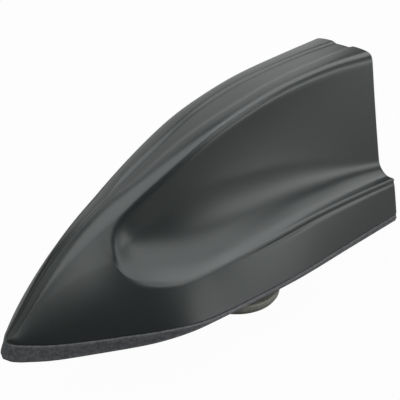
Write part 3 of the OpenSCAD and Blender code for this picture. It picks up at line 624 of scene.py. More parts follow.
FINISHES = (
    Finish("cover_plastic", (0.0125, 0.0150, 0.0150), (0.0158, 0.0188, 0.0188), 0.30, grain=0.35,
           grain_depth=0.35, grain_height=0.012, mottle=22.0, contrast=1.0, gloss_play=0.05,
           marks=0.02, mark_colour=(0.16, 0.165, 0.16), specular=0.7,
           reflection=(0.965, 1.0, 0.998)),
    Finish("seal_rubber", (0.030, 0.032, 0.035), (0.088, 0.091, 0.096), 0.62, grain=0.7,
           grain_depth=0.5, grain_height=0.05, mottle=1.0, contrast=2.6, marks=0.16,
           mark_colour=(0.17, 0.175, 0.18)),
    Finish("cast_metal", (0.42, 0.43, 0.45), (0.34, 0.35, 0.37), 0.45, 0.85, grain=0.9,
           grain_depth=0.4, grain_height=0.06, mottle=6.0, marks=0.2,
           mark_colour=(0.6, 0.61, 0.62)),
    Finish("sheet_steel", (0.58, 0.58, 0.52), (0.36, 0.36, 0.31), 0.38, 0.45, grain=0.6,
           grain_depth=0.25, grain_height=0.03, mottle=4.0, contrast=2.6, marks=0.35,
           mark_colour=(0.62, 0.61, 0.56), pattern=Pattern.SPUN),
    Finish("zinc_steel", (0.55, 0.56, 0.57), (0.47, 0.48, 0.47), 0.34, 0.95, grain=0.5,
           grain_depth=0.15, mottle=5.0, marks=0.15, mark_colour=(0.7, 0.7, 0.7)),
    Finish("board", (0.012, 0.085, 0.035), (0.010, 0.065, 0.030), 0.36, grain=0.8, grain_depth=0.3,
           mottle=12.0, marks=0.05, pattern=Pattern.TRACKS),
    Finish("chip_plastic", (0.018, 0.018, 0.020), (0.026, 0.026, 0.028), 0.5, grain=0.3,
           grain_depth=0.3, mottle=3.0, marks=0.1, mark_colour=(0.1, 0.1, 0.1)),
    Finish("pad", (0.72, 0.69, 0.60), (0.62, 0.59, 0.50), 0.8, grain=0.5, grain_depth=0.4,
           mottle=4.0, marks=0.05),
    Finish("ceramic", (0.60, 0.50, 0.38), (0.53, 0.43, 0.32), 0.5, grain=0.5, grain_depth=0.2,
           mottle=6.0, marks=0.08, mark_colour=(0.35, 0.28, 0.2), pattern=Pattern.ELECTRODE),
    Finish("brass", (0.65, 0.46, 0.18), (0.55, 0.38, 0.14), 0.3, 1.0, grain=0.5, mottle=3.0,
           marks=0.1, mark_colour=(0.8, 0.62, 0.3)),
    Finish("tin_plate", (0.62, 0.62, 0.60), (0.54, 0.54, 0.53), 0.32, 1.0, grain=1.2,
           grain_depth=0.2, mottle=5.0, contrast=2.2, marks=0.25, mark_colour=(0.75, 0.75, 0.74)),
    Finish("former_plastic", (0.62, 0.61, 0.56), (0.55, 0.54, 0.49), 0.5, grain=0.5, mottle=9.0,
           marks=0.06),
    Finish("copper", (0.55, 0.24, 0.11), (0.45, 0.18, 0.08), 0.32, 0.9, grain=0.4, mottle=2.5,
           marks=0.05),
    Finish("carrier_plastic", (0.035, 0.036, 0.038), (0.045, 0.046, 0.048), 0.5, grain=0.5,
           grain_depth=0.3, mottle=10.0, marks=0.08, mark_colour=(0.12, 0.12, 0.12)),
    Finish("foam", (0.055, 0.055, 0.058), (0.075, 0.075, 0.078), 0.9, grain=0.6, grain_depth=0.9,
           grain_height=0.25, mottle=3.0, marks=0.0, pattern=Pattern.PORES),
    Finish("socket_blue", (0.02, 0.085, 0.30), (0.018, 0.070, 0.26), 0.38, grain=0.4, mottle=8.0,
           marks=0.05, mark_colour=(0.2, 0.25, 0.4)),
    Finish("socket_claret", (0.17, 0.016, 0.030), (0.14, 0.012, 0.025), 0.38, grain=0.4,
           mottle=8.0, marks=0.05, mark_colour=(0.35, 0.2, 0.2)),
    Finish("vent_plastic", (0.60, 0.60, 0.58), (0.54, 0.54, 0.52), 0.6, grain=0.5, mottle=4.0,
           marks=0.1),
)


@dataclass(frozen=True)
class FinSizes:
    """Sizes of the cover, as in the part's source."""

    length: float = 158.0
    half_width: float = 32.7
    crest: float = 64.7
    bolt_from_nose: float = 99.0
    wall: float = 2.2
    crown_half_width: float = 13.9
    panel_half_width: float = 6.0
    panel_drop: float = 0.8
    panel_start: float = 42.0
    scoop_start: float = 33.0
    scoop_run: float = 22.0
    scoop_power: float = 0.62
    blade_draft: float = 9.6
    blade_hollow: float = 0.55
    hollow_height: float = 22.0
    floor_fall_front: float = 38.0
    floor_fall_tail: float = 8.0
    root_fillet: float = 5.0
    shoulder: float = 0.9
    rail_ease: float = 1.3
    tail_round: float = 1.2
    tail_rake: float = 1.8
    edge_nose: float = 4.9
    edge_mid: float = 1.3
    edge_tail: float = 2.4
    crown_round: float = 8.2
    crown_power: float = 2.3
    panel_camber: float = 0.12
    scoop_tip: float = 0.70
    scoop_low: float = 0.257
    scoop_low_tail: float = 0.228
    scoop_low_ease: float = 4.1
    scoop_low_power: float = 0.55
    scoop_high_ease: float = 3.0
    nose_bulge: float = 0.05
    tail_bulge: float = 0.03
    nose_tip: float = 2.5
    bead_start: float = 66.0
    bead_run: float = 34.0
    # Height, place and width of each swell beside the shoulder
    bead_swells: tuple[tuple[float, float, float], ...] = (
        (0.14, 0.1, 1.0), (-0.24, 3.4, 1.9), (-0.19, -1.5, 0.8))


@dataclass(frozen=True)
class FinLoft:
    """Outer form of the cover: a section at any distance from the nose."""

    sizes: FinSizes = FinSizes()
    plan: ShapeCurve = ShapeCurve((
        (0, 0.07), (0.013, 0.115), (0.051, 0.297), (0.127, 0.538), (0.211, 0.755), (0.258, 0.844),
        (0.314, 0.911), (0.373, 0.939), (0.6, 1), (0.79, 0.979), (1, 0.954)), 0.012)
    crest_line: ShapeCurve = ShapeCurve((
        (0, 0.084), (0.0095, 0.098), (0.044, 0.193), (0.095, 0.329), (0.152, 0.451), (0.215, 0.55),
        (0.323, 0.68), (0.437, 0.802), (0.5, 0.858), (0.595, 0.915), (0.69, 0.957), (0.85, 0.989),
        (1, 1)), 0.014)
    crown_line: ShapeCurve = ShapeCurve((
        (0, 0.13), (0.044, 0.275), (0.095, 0.403), (0.152, 0.504), (0.215, 0.568), (0.323, 0.648),
        (0.437, 0.727), (0.595, 0.77), (0.785, 0.802), (0.88, 0.85), (1, 1)))
    round_line: ShapeCurve = ShapeCurve((
        (0, 0.04), (0.0095, 0.1), (0.044, 0.5), (0.095, 0.88), (0.152, 1), (0.215, 0.87),
        (0.323, 0.45), (0.373, 0.29), (0.5, 0.16), (0.69, 0.12), (0.88, 0.15), (1, 0.22)))
    root_line: ShapeCurve = ShapeCurve((
        (0, 0.3), (0.22, 0.4), (0.316, 0.52), (0.38, 0.58), (0.57, 0.566), (0.728, 0.512),
        (0.895, 0.397), (1, 0.345)), 0.03)
    edge_line: ShapeCurve = ShapeCurve((
        (0, 1), (0.18, 0.95), (0.23, 0.78), (0.277, 0.57), (0.35, 0.11), (0.42, 0), (0.5, 0),
        (1, 0)), 0.012)
    panel_line: ShapeCurve = ShapeCurve((
        (0, 0.12), (0.03, 0.42), (0.078, 0.6), (0.147, 0.65), (0.23, 0.72), (0.32, 0.87), (0.45, 1),
        (0.6, 0.94), (1, 0.88)), 0.012)
    panel_slope: float = 3.0
    panel_run: float = 5.0
    rail_reach: float = 4.5
    skirt_share: float = 0.34
    dense_points: int = 700

    def share(self, s: float) -> float:
        """Share of the cover's length at the distance s from the nose."""
        return s / self.sizes.length

    def tip(self, s: float) -> float:
        """Rounds the nose in plan: 0 at the tip, 1 from a short way behind it."""
        return math.sqrt(1 - (1 - min(s / self.sizes.nose_tip, 1.0)) ** 2)

    def half_width(self, s: float) -> float:
        """Half width at the lower edge."""
        return float(self.sizes.half_width * self.plan.at(self.share(s))[0] * self.tip(s))

    def edge(self, s: float) -> float:
        """Height of the lower edge."""
        z = self.sizes
        rise = mix(z.edge_mid, z.edge_nose, self.edge_line.at(self.share(s))[0])
        tail = mix(z.edge_mid, z.edge_tail, clamp((self.share(s) - 0.42) / 0.58))
        return float(rise + tail - z.edge_mid)

    def crest(self, s: float) -> float:
        """Height of the crown's rails."""
        return float(self.sizes.crest * self.crest_line.at(self.share(s))[0])

    def bulge(self, s: float) -> float:
        """Bulge of the side, as a share of its height."""
        z = self.sizes
        behind = clamp((self.share(s) - 0.6) / 0.4)
        return float(z.nose_bulge * clamp(1.25 - s / 50) + z.tail_bulge * behind)

    def side(self, edge: np.ndarray, crown: np.ndarray, s: float, t: np.ndarray) -> np.ndarray:
        """Points on the side without its scoop, at shares t from its lower edge to the crown."""
        d = crown - edge
        return edge + np.outer(t, d) + np.outer(4 * t * (1 - t) * self.bulge(s), (d[1], -d[0]))

    def corner(self, s: float) -> tuple[float, float, float, float]:
        """Round between side and crown: its outer and inner distances, its top and its fall."""
        z = self.sizes
        back = (s - z.panel_start) / (z.length - z.panel_start)
        outer = z.crown_half_width * float(self.crown_line.at(self.share(s))[0]) * self.tip(s)
        inner = z.panel_half_width * float(self.panel_line.at(clamp(back))[0]) * self.tip(s)
        fall = z.crown_round * float(self.round_line.at(self.share(s))[0])
        return outer, min(inner, outer * 0.9), self.crest(s), fall

    def round_at(self, corner: tuple[float, float, float, float], a: np.ndarray) -> np.ndarray:
        """Points of that round at the angles a."""
        outer, inner, top, fall = corner
        power = 2 / self.sizes.crown_power
        return np.column_stack((mix(inner, outer, np.cos(a).clip(0) ** power),
                                top - fall + fall * np.sin(a) ** power))

    def meeting(self, corner: tuple[float, float, float, float], edge: np.ndarray,
                s: float) -> float:
        """Angle on the round at which the side runs into it without a bend.

        Args:
            corner: The round, as the method corner gives it.
            edge: Lower edge of the side.
            s: Distance from the nose.

        Returns:
            The angle in radians.
        """
        a = np.radians(np.linspace(0.5, 80, 600))
        points = self.round_at(corner, a)
        along = np.gradient(points, axis=0)
        d = points - edge
        aim = d - 4 * self.bulge(s) * square_to(d)
        turn = along[:, 0] * aim[:, 1] - along[:, 1] * aim[:, 0]
        past = int(np.argmax(turn < 0))
        if past == 0:
            return float(a[0])
        share = turn[past - 1] / (turn[past - 1] - turn[past])
        return float(mix(a[past - 1], a[past], share))

    def depth(self, s: float) -> float:
        """How far the scoop has reached its full depth."""
        z = self.sizes
        u = float(clamp((s - z.scoop_start) / z.scoop_run))
        return (1 - (1 - u) ** 2) ** z.scoop_power

    def low_share(self, s: float) -> float:
        """Share of the side at which the scoop's lower edge lies."""
        z = self.sizes
        if s < z.scoop_start:
            return mix(0.35, z.scoop_tip - 0.01, s / z.scoop_start)
        rear = mix(z.scoop_low, z.scoop_low_tail, clamp((s - 0.7 * z.length) / (0.3 * z.length)))
        open_by = ((s - z.scoop_start) / z.scoop_low_ease) ** z.scoop_low_power
        return rear + (z.scoop_tip - 0.01 - z.scoop_low) * math.exp(-open_by)

    def high_share(self, s: float) -> float:
        """Share of the side at which the scoop's upper edge lies."""
        z = self.sizes
        if s < z.scoop_start:
            return min(mix(0.95, z.scoop_tip + 0.01, s / z.scoop_start), 0.985)
        left = (1 - z.scoop_tip - 0.01) * math.exp((z.scoop_start - s) / z.scoop_high_ease)
        return min(1 - left, 0.985)

    def scoop(self, low: np.ndarray, high: np.ndarray, s: float, t: np.ndarray) -> np.ndarray:
        """Scoop at full depth, along its floor, round the root and up the blade.

        Args:
            low: Lower edge of the scoop, as distance from the centre line and height.
            high: Upper edge of the scoop.
            s: Distance from the nose.
            t: Shares along the scoop, 0 at its lower edge.

        Returns:
            One point for each share.
        """
        z = self.sizes
        back = float(clamp((s - z.scoop_start) / (z.length - z.scoop_start)))
        tail = float(clamp((self.share(s) - 0.75) * 4))
        fall = math.radians(mix(z.floor_fall_front, z.floor_fall_tail, back))
        draft = math.radians(z.blade_draft)
        wall = np.array((math.sin(draft), -math.cos(draft)))
        floor = np.array((math.cos(fall), -math.sin(fall)))
        corner = high + wall * cross(low - high, floor) / cross(wall, floor)
        root = max(z.crest * float(self.root_line.at(self.share(s))[0]), corner[1] + z.root_fillet)
        wall_top = mix(high, corner, clamp((high[1] - root) / max(high[1] - corner[1], 1)))
        reach = max(np.linalg.norm(low - corner), 1e-6)
        floor_in = mix(corner, low, mix(0.9, min(z.root_fillet / reach, 0.95), tail))
        t = t[:, None]
        floor_end, bend_end = 0.15, 0.7
        u = clamp((t - floor_end) / (bend_end - floor_end))
        w = clamp((t - bend_end) / (1 - bend_end))
        flat = mix(low, floor_in, clamp(t / floor_end))
        bend = floor_in * (1 - u) ** 2 + corner * 2 * u * (1 - u) + wall_top * u * u
        tall = float(clamp(np.linalg.norm(high - wall_top) / z.hollow_height)) ** 2
        hollow = z.blade_hollow * mix(1.0, 0.3, tail) * tall
        up = mix(wall_top, high, w) - 4 * w * (1 - w) * hollow * np.array((1.0, 0.0))
        return np.where(t < floor_end, flat, np.where(t < bend_end, bend, up))

    def lower_part(self, s: float, edge: np.ndarray, crown: np.ndarray, count: int) -> np.ndarray:
        """Skirt, rolled shoulder and scoop, up to the crown.

        Args:
            s: Distance from the nose.
            edge: Lower edge of the side.
            crown: Upper end of the side, on the crown's round.
            count: Number of points.

        Returns:
            The points.
        """
        low_t, high_t = self.low_share(s), self.high_share(s)
        low = self.side(edge, crown, s, np.array((low_t,)))[0]
        high = self.side(edge, crown, s, np.array((high_t,)))[0]
        t = np.linspace(0, 1, 160)
        deep = self.scoop(low, high, s, t)
        plain = self.side(edge, crown, s, mix(low_t, high_t, t))
        scoop = mix(plain, deep, self.depth(s))
        skirt = self.side(edge, crown, s, low_t * np.linspace(0, 1, 40)[:-1])
        line = np.vstack((skirt, scoop, crown[None]))
        run = run_of(line)
        at = run[len(skirt)]
        line, even = self._rolled(line, run, at, s)
        below = int(count * self.skirt_share)
        aim = np.concatenate((at * (1 - (1 - np.linspace(0, 1, below, endpoint=False)) ** 1.7),
                              at + (even[-1] - at) * np.linspace(0, 1, count - below) ** 1.45))
        return read_at(aim, even, line)

    def _rolled(self, line: np.ndarray, run: np.ndarray, at: float,
                s: float) -> tuple[np.ndarray, np.ndarray]:
        """Rolls the shoulder and raises its bead.

        Args:
            line: Points of the section.
            run: Length along the section at each point.
            at: Length at which the shoulder lies.
            s: Distance from the nose.

        Returns:
            The new points, evenly divided, with the length at each of them.
        """
        z = self.sizes
        even = np.linspace(0, run[-1], self.dense_points)
        dense = read_at(even, run, line)
        gap = even[1] - even[0]
        width = mix(z.shoulder, z.shoulder * 0.8, float(clamp((s - 60) / 40)))
        radius = min(width * 0.55, run[-1] / 12)
        reach = max(int(3 * radius / gap), 1)
        soft = softened(2 * dense[0] - dense[reach:0:-1], dense,
                        2 * dense[-1] - dense[-2:-reach - 2:-1], gap / radius)
        dense = mix(dense, soft, bell(even, at, 4 * radius)[:, None])
        out = square_to(unit(np.gradient(dense, axis=0)))
        bead = float(clamp((s - z.bead_start) / z.bead_run)) ** 1.2
        lift = bead * sum(high * bell(even - at, *swell) for high, *swell in z.bead_swells)
        return dense + out * lift[:, None], even

    def section(self, s: float, lower: int = 88, rounds: int = 16) -> np.ndarray:
        """One half of the outer section, from the lower edge to the centre line.

        Args:
            s: Distance from the nose.
            lower: Number of points up to the crown.
            rounds: Number of points round the crown's edge.

        Returns:
            Distance from the centre line and height of each point.
        """
        z = self.sizes
        edge = np.array((self.half_width(s), self.edge(s)))
        corner = self.corner(s)
        _, half, crest, _ = corner
        meet = self.meeting(corner, edge, s)
        below = self.lower_part(s, edge, self.round_at(corner, np.array((meet,)))[0], lower)
        top = self.round_at(corner, mix(meet, math.pi / 2, np.linspace(0, 1, rounds + 1)[1:]))
        below, top = self._eased_rail(below, top, s)
        sink = z.panel_drop * float(clamp((s - z.panel_start) / self.panel_run)) ** 0.8
        step = min(max(sink * self.panel_slope, 0.05), half * 0.6)
        ease = np.linspace(0, 1, 8)[1:]
        down = ease * ease * (3 - 2 * ease)
        wall = np.column_stack((half - step * ease, crest - sink * down))
        flat = np.column_stack(((half - step) * (1 - np.linspace(0, 1, 5)[1:]),
                                np.full(4, crest - sink)))
        inner = np.vstack((wall, flat))
        inner[:, 1] += z.panel_camber * (1 - (inner[:, 0] / max(half, 1e-6)) ** 2) * self.tip(s)
        return np.vstack((below, top, inner))

    def _eased_rail(self, below: np.ndarray, top: np.ndarray,
                    s: float) -> tuple[np.ndarray, np.ndarray]:
        """Runs the blade softly into the crown's rail.

        Args:
            below: Points up to the crown's round.
            top: Points on the round.
            s: Distance from the nose.

        Returns:
            Both with the bend between them eased.
        """
        line = np.vstack((below, top))
        run = run_of(line)
        away = run - run[len(below) - 1]
        soft = self.sizes.rail_ease * float(clamp((s - self.sizes.scoop_start) / 16))
        reach = np.minimum(soft * bell(away, 0.0, self.rail_reach), (run[-1] - run) / 2).clip(1e-3)
        eased = evened(run, line, reach)
        return eased[:len(below)], eased[len(below):]

    def place(self, s: float, half: np.ndarray) -> np.ndarray:
        """Whole section in the part's frame, from the left lower edge over to the right one."""
        z = self.sizes
        slant = math.tan(math.radians(z.tail_rake))
        x = s - slant * half[:, 1] * clamp((self.share(s) - 0.7) / 0.3) ** 2 - z.bolt_from_nose
        left = np.column_stack((x, -half[:, 0], half[:, 1]))
        right = np.column_stack((x, half[:, 0], half[:, 1]))[::-1][1:]
        return np.vstack((left, right))

    @staticmethod
    def drawn_in(half: np.ndarray, gap: float, spread: float) -> np.ndarray:
        """Half section moved inwards, with corners kept from folding.

        Args:
            half: Points of the section.
            gap: Distance to move.
            spread: Length over which the direction is evened out.

        Returns:
            The moved points, the last one still on the centre line.
        """
        run = run_of(half)
        even = np.linspace(0, run[-1], 600)
        tangent = unit(np.gradient(read_at(even, run, half), axis=0))
        step = even[1] - even[0]
        reach = max(int(2.5 * spread / step), 1)
        ends = np.repeat(tangent[:1], reach, 0), np.repeat(tangent[-1:] * (1, -1), reach, 0)
        soft = unit(softened(ends[0], tangent, ends[1], step / spread))
        moved = half - square_to(read_at(run, even, soft)) * gap
        moved[-1, 0] = 0.0
        moved[0, 1] = half[0, 1]
        return moved


@dataclass
class FinCover:
    """The moulded cover: its outer skin, the inside of its wall, and the screw bosses."""

    loft: FinLoft
    inner_front: float = 10.0
    fair: float = 3.0
    fair_ahead: float = 1.6
    fair_least: float = 0.35
    boss_radius: float = 2.8
    boss_bore: float = 1.27
    boss_foot: float = 3.2
    screw_depth: float = 10.3
    boss_cover: float = 1.0
    bosses: tuple[tuple[float, float], ...] = tuple(
        (s, side * y) for s, y in ((22, 6), (62, 21), (104, 21), (147, 21)) for side in (1, -1))
    nose_run: float = 3.0
    nose_rows: int = 16

    def stations(self) -> list[tuple[float, float]]:
        """Distances from the nose of the outer sections, with the draw-in that rounds the tail."""
        z = self.loft.sizes
        start, end = z.scoop_start, z.length - z.tail_round
        ends = (self.nose_run, start - 2, start + 6, start + 26, end)
        flat = [self.nose_run * (i / self.nose_rows) ** 1.8 for i in range(self.nose_rows)]
        for a, b, n in zip(ends, ends[1:], (40, 40, 40, 90)):
            flat += [mix(a, b, i / n) for i in range(n)]
        flat.append(end)
        turns = [math.radians(90 * k / 7) for k in range(1, 8)]
        return [(s, 0.0) for s in flat] + [(z.length - z.tail_round * (1 - math.sin(a)),
                                            z.tail_round * (1 - math.cos(a))) for a in turns]

    def faired(self, s: np.ndarray, halves: np.ndarray) -> np.ndarray:
        """Sections evened out along the length, least at the scoop's start and not at the ends.

        Args:
            s: Distance of each section from the nose.
            halves: The sections, by points, by 2.

        Returns:
            The evened sections.
        """
        z = self.loft.sizes
        away = s - z.scoop_start
        ahead = mix(self.fair_ahead, self.fair_least, np.exp(away / 4.0))
        behind = mix(self.fair, self.fair_least, np.exp(-away / 9.0))
        reach = np.where(away < 0, ahead, behind)
        reach = np.minimum(reach, np.minimum(s / 3, (s[-1] - s) / 2.2)).clip(1e-4)
        even = evened(s, halves, reach)
        even[:, -1, 0] = 0.0
        return even

    def skin(self) -> tuple[bpy.types.Object, np.ndarray]:
        """Outer skin, open along its lower edge, with its vertices' numbers row by row."""
        stations = self.stations()
        flat = np.array([s for s, gap in stations if not gap])
        halves = self.faired(flat, np.array([self.loft.section(s) for s in flat]))
        rows = [self.loft.place(s, half) for s, half in zip(flat, halves)]
        for s, gap in stations[len(flat):]:
            rows.append(self.loft.place(s, self.loft.drawn_in(self.loft.section(s), gap, 0.9)))
        return sheet_over("fin_cover_skin", np.array(rows))

    def lining(self) -> tuple[bpy.types.Object, np.ndarray]:
        """Inside of the wall, open along its lower edge, with its vertices' numbers row by row."""
        z = self.loft.sizes
        rows = []
        for outer, _ in self.stations():
            s = mix(self.inner_front, z.length - z.wall, outer / z.length)
            wall = z.wall * mix(1.25, 1.0, float(clamp(s / (0.4 * z.length))))
            half = self.loft.drawn_in(self.loft.section(s, 30, 5), wall, 2.5)
            rows.append(self.loft.place(s, half))
        return sheet_over("fin_cover_lining", np.array(rows))

    def boss(self, s: float, y: float) -> bpy.types.Object:
        """One screw boss, bored from below."""
        z = self.loft.sizes
        half = self.loft.section(s - self.boss_radius)
        order = np.argsort(half[:, 0])
        roof = float(np.interp(abs(y) + self.boss_radius, half[order, 0], half[order, 1]))
        top = roof - self.boss_cover
        clear_selection()
        middle = np.array((s - z.bolt_from_nose, y, (top + self.boss_foot) / 2)) * MM
        bpy.ops.mesh.primitive_cylinder_add(vertices=24, radius=self.boss_radius * MM,
                                            depth=(top - self.boss_foot) * MM, location=middle)
        post = bpy.context.object
        bpy.ops.object.transform_apply(location=True, rotation=False, scale=False)
        edit(post, "FACE")
        bpy.ops.object.mode_set(mode="OBJECT")
        for face in post.data.polygons:
            face.select = face.normal.z < -0.9
        bpy.ops.object.mode_set(mode="EDIT")
        bpy.ops.mesh.inset(thickness=(self.boss_radius - self.boss_bore) * MM)
        deep = min(self.screw_depth - self.boss_foot, top - self.boss_foot - 1)
        bpy.ops.mesh.extrude_region_move(TRANSFORM_OT_translate={"value": (0, 0, deep * MM)})
        bpy.ops.object.mode_set(mode="OBJECT")
        return post

    def build(self) -> bpy.types.Object:
        """The whole cover.

        Returns:
            The finished piece, in place of its CAD node.
        """
        skin, skin_rows = self.skin()
        fill_row(skin, skin_rows[-1])
        lining, lining_rows = self.lining()
        fill_row(lining, lining_rows[-1])
        fill_row(lining, lining_rows[0])
        join_all(skin, lining)
        close_up(skin, 8e-6)
        edit(skin, "EDGE")
        bpy.ops.mesh.select_non_manifold(extend=False, use_wire=False, use_boundary=True,
                                         use_multi_face=False, use_non_contiguous=False,
                                         use_verts=False)
        bpy.ops.mesh.bridge_edge_loops()
        close_up(skin, 1e-7)
        join_all(skin, *[self.boss(s, y) for s, y in self.bosses])
        skin.name = skin.data.name = "moulded_cover"
        smooth(skin, 38)
        return seat(skin, "cover_plastic", "fin_cover")


@dataclass
class RubberSeal:
    """The rubber seal: a bead round the foot of the cover, with a flange under the base plate."""

    loft: FinLoft
    gap: float = 0.30
    out: float = 0.8
    chamfer: float = 0.35
    corner: float = 2.5
    flange_width: float = 7.0
    flange_front: float = 15.0
    flange_height: float = 0.8
    nose_drop: float = 1.0
    drop_run: float = 26.0
    nose_swell: float = 1.1
    swell_run: float = 22.0
    foot_in: float = 2.4

    def outline(self) -> np.ndarray:
        """Outline of the cover's lower edge from above: distances from the nose and to the side."""
        z = self.loft.sizes
        s = np.concatenate((3.0 * np.linspace(0, 1, 14, endpoint=False) ** 2,
                            np.linspace(3.0, z.length - self.corner, 240)))
        side = np.array([(a, self.loft.half_width(a)) for a in s])
        w = self.loft.half_width(z.length)
        turn = np.radians(np.linspace(0, 90, 9))[1:]
        arc = np.column_stack((z.length - self.corner * (1 - np.sin(turn)),
                               w - self.corner * (1 - np.cos(turn))))
        half = np.vstack((side, arc))
        loop = np.vstack((half * (1, -1), half[::-1][:-1]))
        closed = np.vstack((loop, loop[:1]))
        run = run_of(closed)
        return read_at(np.linspace(0, run[-1], 400, endpoint=False), run, closed)

    def profile(self, top: float, low: float, swell: float) -> np.ndarray:
        """Outer profile of the bead: distance outside the cover's edge, and height.

        Args:
            top: Height of the bead's top.
            low: Height of its foot.
            swell: How far its foot swells out.

        Returns:
            Points from the inside of the top, down the outer face, and in under the foot.
        """
        tall = top - low
        lip = min(0.55 + 0.5 * swell, tall * 0.4)
        widest = self.out + swell
        face = [(-0.70, top - 0.25), (-0.60, top - 0.06), (-0.25, top - 0.02), (0.06, top - 0.10),
                (0.04 + self.chamfer * 0.7, top - self.chamfer * 0.8)]
        down = [(mix(0.08 + self.chamfer, widest - 0.16, t ** 1.5 if swell else t),
                 mix(top - self.chamfer * 0.9, low + lip + 0.05, t))
                for t in (0.12, 0.35, 0.6, 0.85, 1.0)]
        foot = [(widest - 0.10, low + lip * 0.9), (widest, low + lip * 0.62),
                (widest - 0.1 * swell, low + lip * 0.3), (widest - 0.08 - 0.3 * swell, low + 0.06),
                (widest - 0.25 - 0.5 * swell, low), (-0.9, low)]
        return np.array(face + down + foot)

    def build(self) -> bpy.types.Object:
        """The whole seal.

        Returns:
            The finished piece, in place of its CAD node.
        """
        z = self.loft.sizes
        base = self.outline()
        out = square_to(unit(np.roll(base, -1, 0) - np.roll(base, 1, 0)))
        back = z.length - self.flange_width - 1
        rows = []
        for (s, y), normal in zip(base, out):
            top = self.loft.edge(float(clamp(s, 0, z.length))) - self.gap
            low = -self.nose_drop * float(clamp(1 - s / self.drop_run)) ** 1.5
            swell = self.nose_swell * float(clamp(1 - s / self.swell_run)) ** 1.5
            flange = min(self.flange_height, top - 0.1)
            si = mix(self.flange_front, back, s / z.length)
            inside = self.loft.half_width(si) - self.flange_width - 1
            share = y / max(self.loft.half_width(s), 1e-6) if s > 0.01 else 0.0
            wi = float(clamp(inside * share, -inside, inside))
            outer = [(s + g * normal[0], y + g * normal[1], h)
                     for g, h in self.profile(top, low, swell)]
            foot = (s - self.foot_in * normal[0], y - self.foot_in * normal[1])
            inner = [(*foot, 0.0), (si, wi, 0.0), (si, wi, flange), (*foot, flange),
                     (s - self.foot_in / 2 * normal[0], y - self.foot_in / 2 * normal[1],
                      mix(flange, top, 0.6))]
            rows.append(np.array(outer + inner) - (z.bolt_from_nose, 0, 0))
        seal = ring_over("foot_seal", np.array(rows))
        close_up(seal, 1e-7)
        smooth(seal, 40)
        return seat(seal, "seal_rubber", "base_seal")


@dataclass
class MetalWork:
    """Castings, pressings and turned parts: they keep their CAD form and get their edges broken."""

    bevels: dict[str, tuple[str, float, float]] = field(default_factory=lambda: {
        "claw_disc": ("sheet_steel", 0.30, 40.0),
        "fixing_bolt": ("zinc_steel", 0.18, 35.0),
        "lock_washer": ("zinc_steel", 0.10, 40.0),
        "base_plate": ("cast_metal", 0.20, 50.0),
        "front_coax_socket": ("socket_blue", 0.15, 50.0),
        "rear_coax_socket": ("socket_claret", 0.15, 50.0),
        "spigot_ring": ("seal_rubber", 0.15, 50.0),
    })
    disc_wider: float = 1.02
    disc_deeper: float = 1.10

    def ease(self, node: str, slot: str, width: float, angle: float) -> bpy.types.Object:
        """Copy of a CAD node with its edges broken.

        Args:
            node: Name of the CAD node.
            slot: Its material slot.
            width: Width of the broken edge in millimetres.
            angle: Least angle in degrees at which an edge is broken.

        Returns:
            The finished piece, in place of the node.
        """
        source = frame["nodes"][node]
        copy = source.copy()
        copy.data = source.data.copy()
        copy.animation_data_clear()
        copy.parent = None
        copy.name = copy.data.name = node + "_finished"
        bpy.context.scene.collection.objects.link(copy)
        edit(copy)
        bpy.ops.mesh.select_all(action="SELECT")
        bpy.ops.mesh.remove_doubles(threshold=1e-7)
        bpy.ops.mesh.dissolve_limited(angle_limit=math.radians(0.5))
        bpy.ops.object.mode_set(mode="OBJECT")
        bevel = copy.modifiers.new("broken edges", "BEVEL")
        bevel.width = width * MM
        bevel.segments = 2
        bevel.limit_method = "ANGLE"
        bevel.angle_limit = math.radians(angle)
        bevel.use_clamp_overlap = True
        pick(copy)
        bpy.ops.object.modifier_apply(modifier=bevel.name)
        if node == "claw_disc":
            self.deepen(copy)
        smooth(copy, 30)
        return seat(copy, slot, node)

    def deepen(self, disc: bpy.types.Object) -> None:
        """Draws the claw disc's dish down and out from its top, as deep as in the photograph."""
        co = places_of(disc)
        top = co[:, 2].max()
        reach = clamp((top - co[:, 2]) / (top - co[:, 2].min()))[:, None]
        middle = (co[:, :2].max(axis=0) + co[:, :2].min(axis=0)) / 2
        wider = 1 + (self.disc_wider - 1) * np.minimum(1, 0.5 + reach)
        co[:, :2] = middle + (co[:, :2] - middle) * wider
        co[:, 2] = top + (co[:, 2] - top) * self.disc_deeper
        reshape(disc, co / MM)

    def build(self) -> list[bpy.types.Object]:
        """All of them.

        Returns:
            The finished pieces.
        """
        return [self.ease(node, *facts) for node, facts in self.bevels.items()]


@dataclass(frozen=True)
class Lamp:
    """Soft area light: where it stands round the part's middle, and how strong it is."""

    name: str
    azimuth: float
    elevation: float
    size: float
    power: float
    distance: float = 0.9
    tall: float | None = None


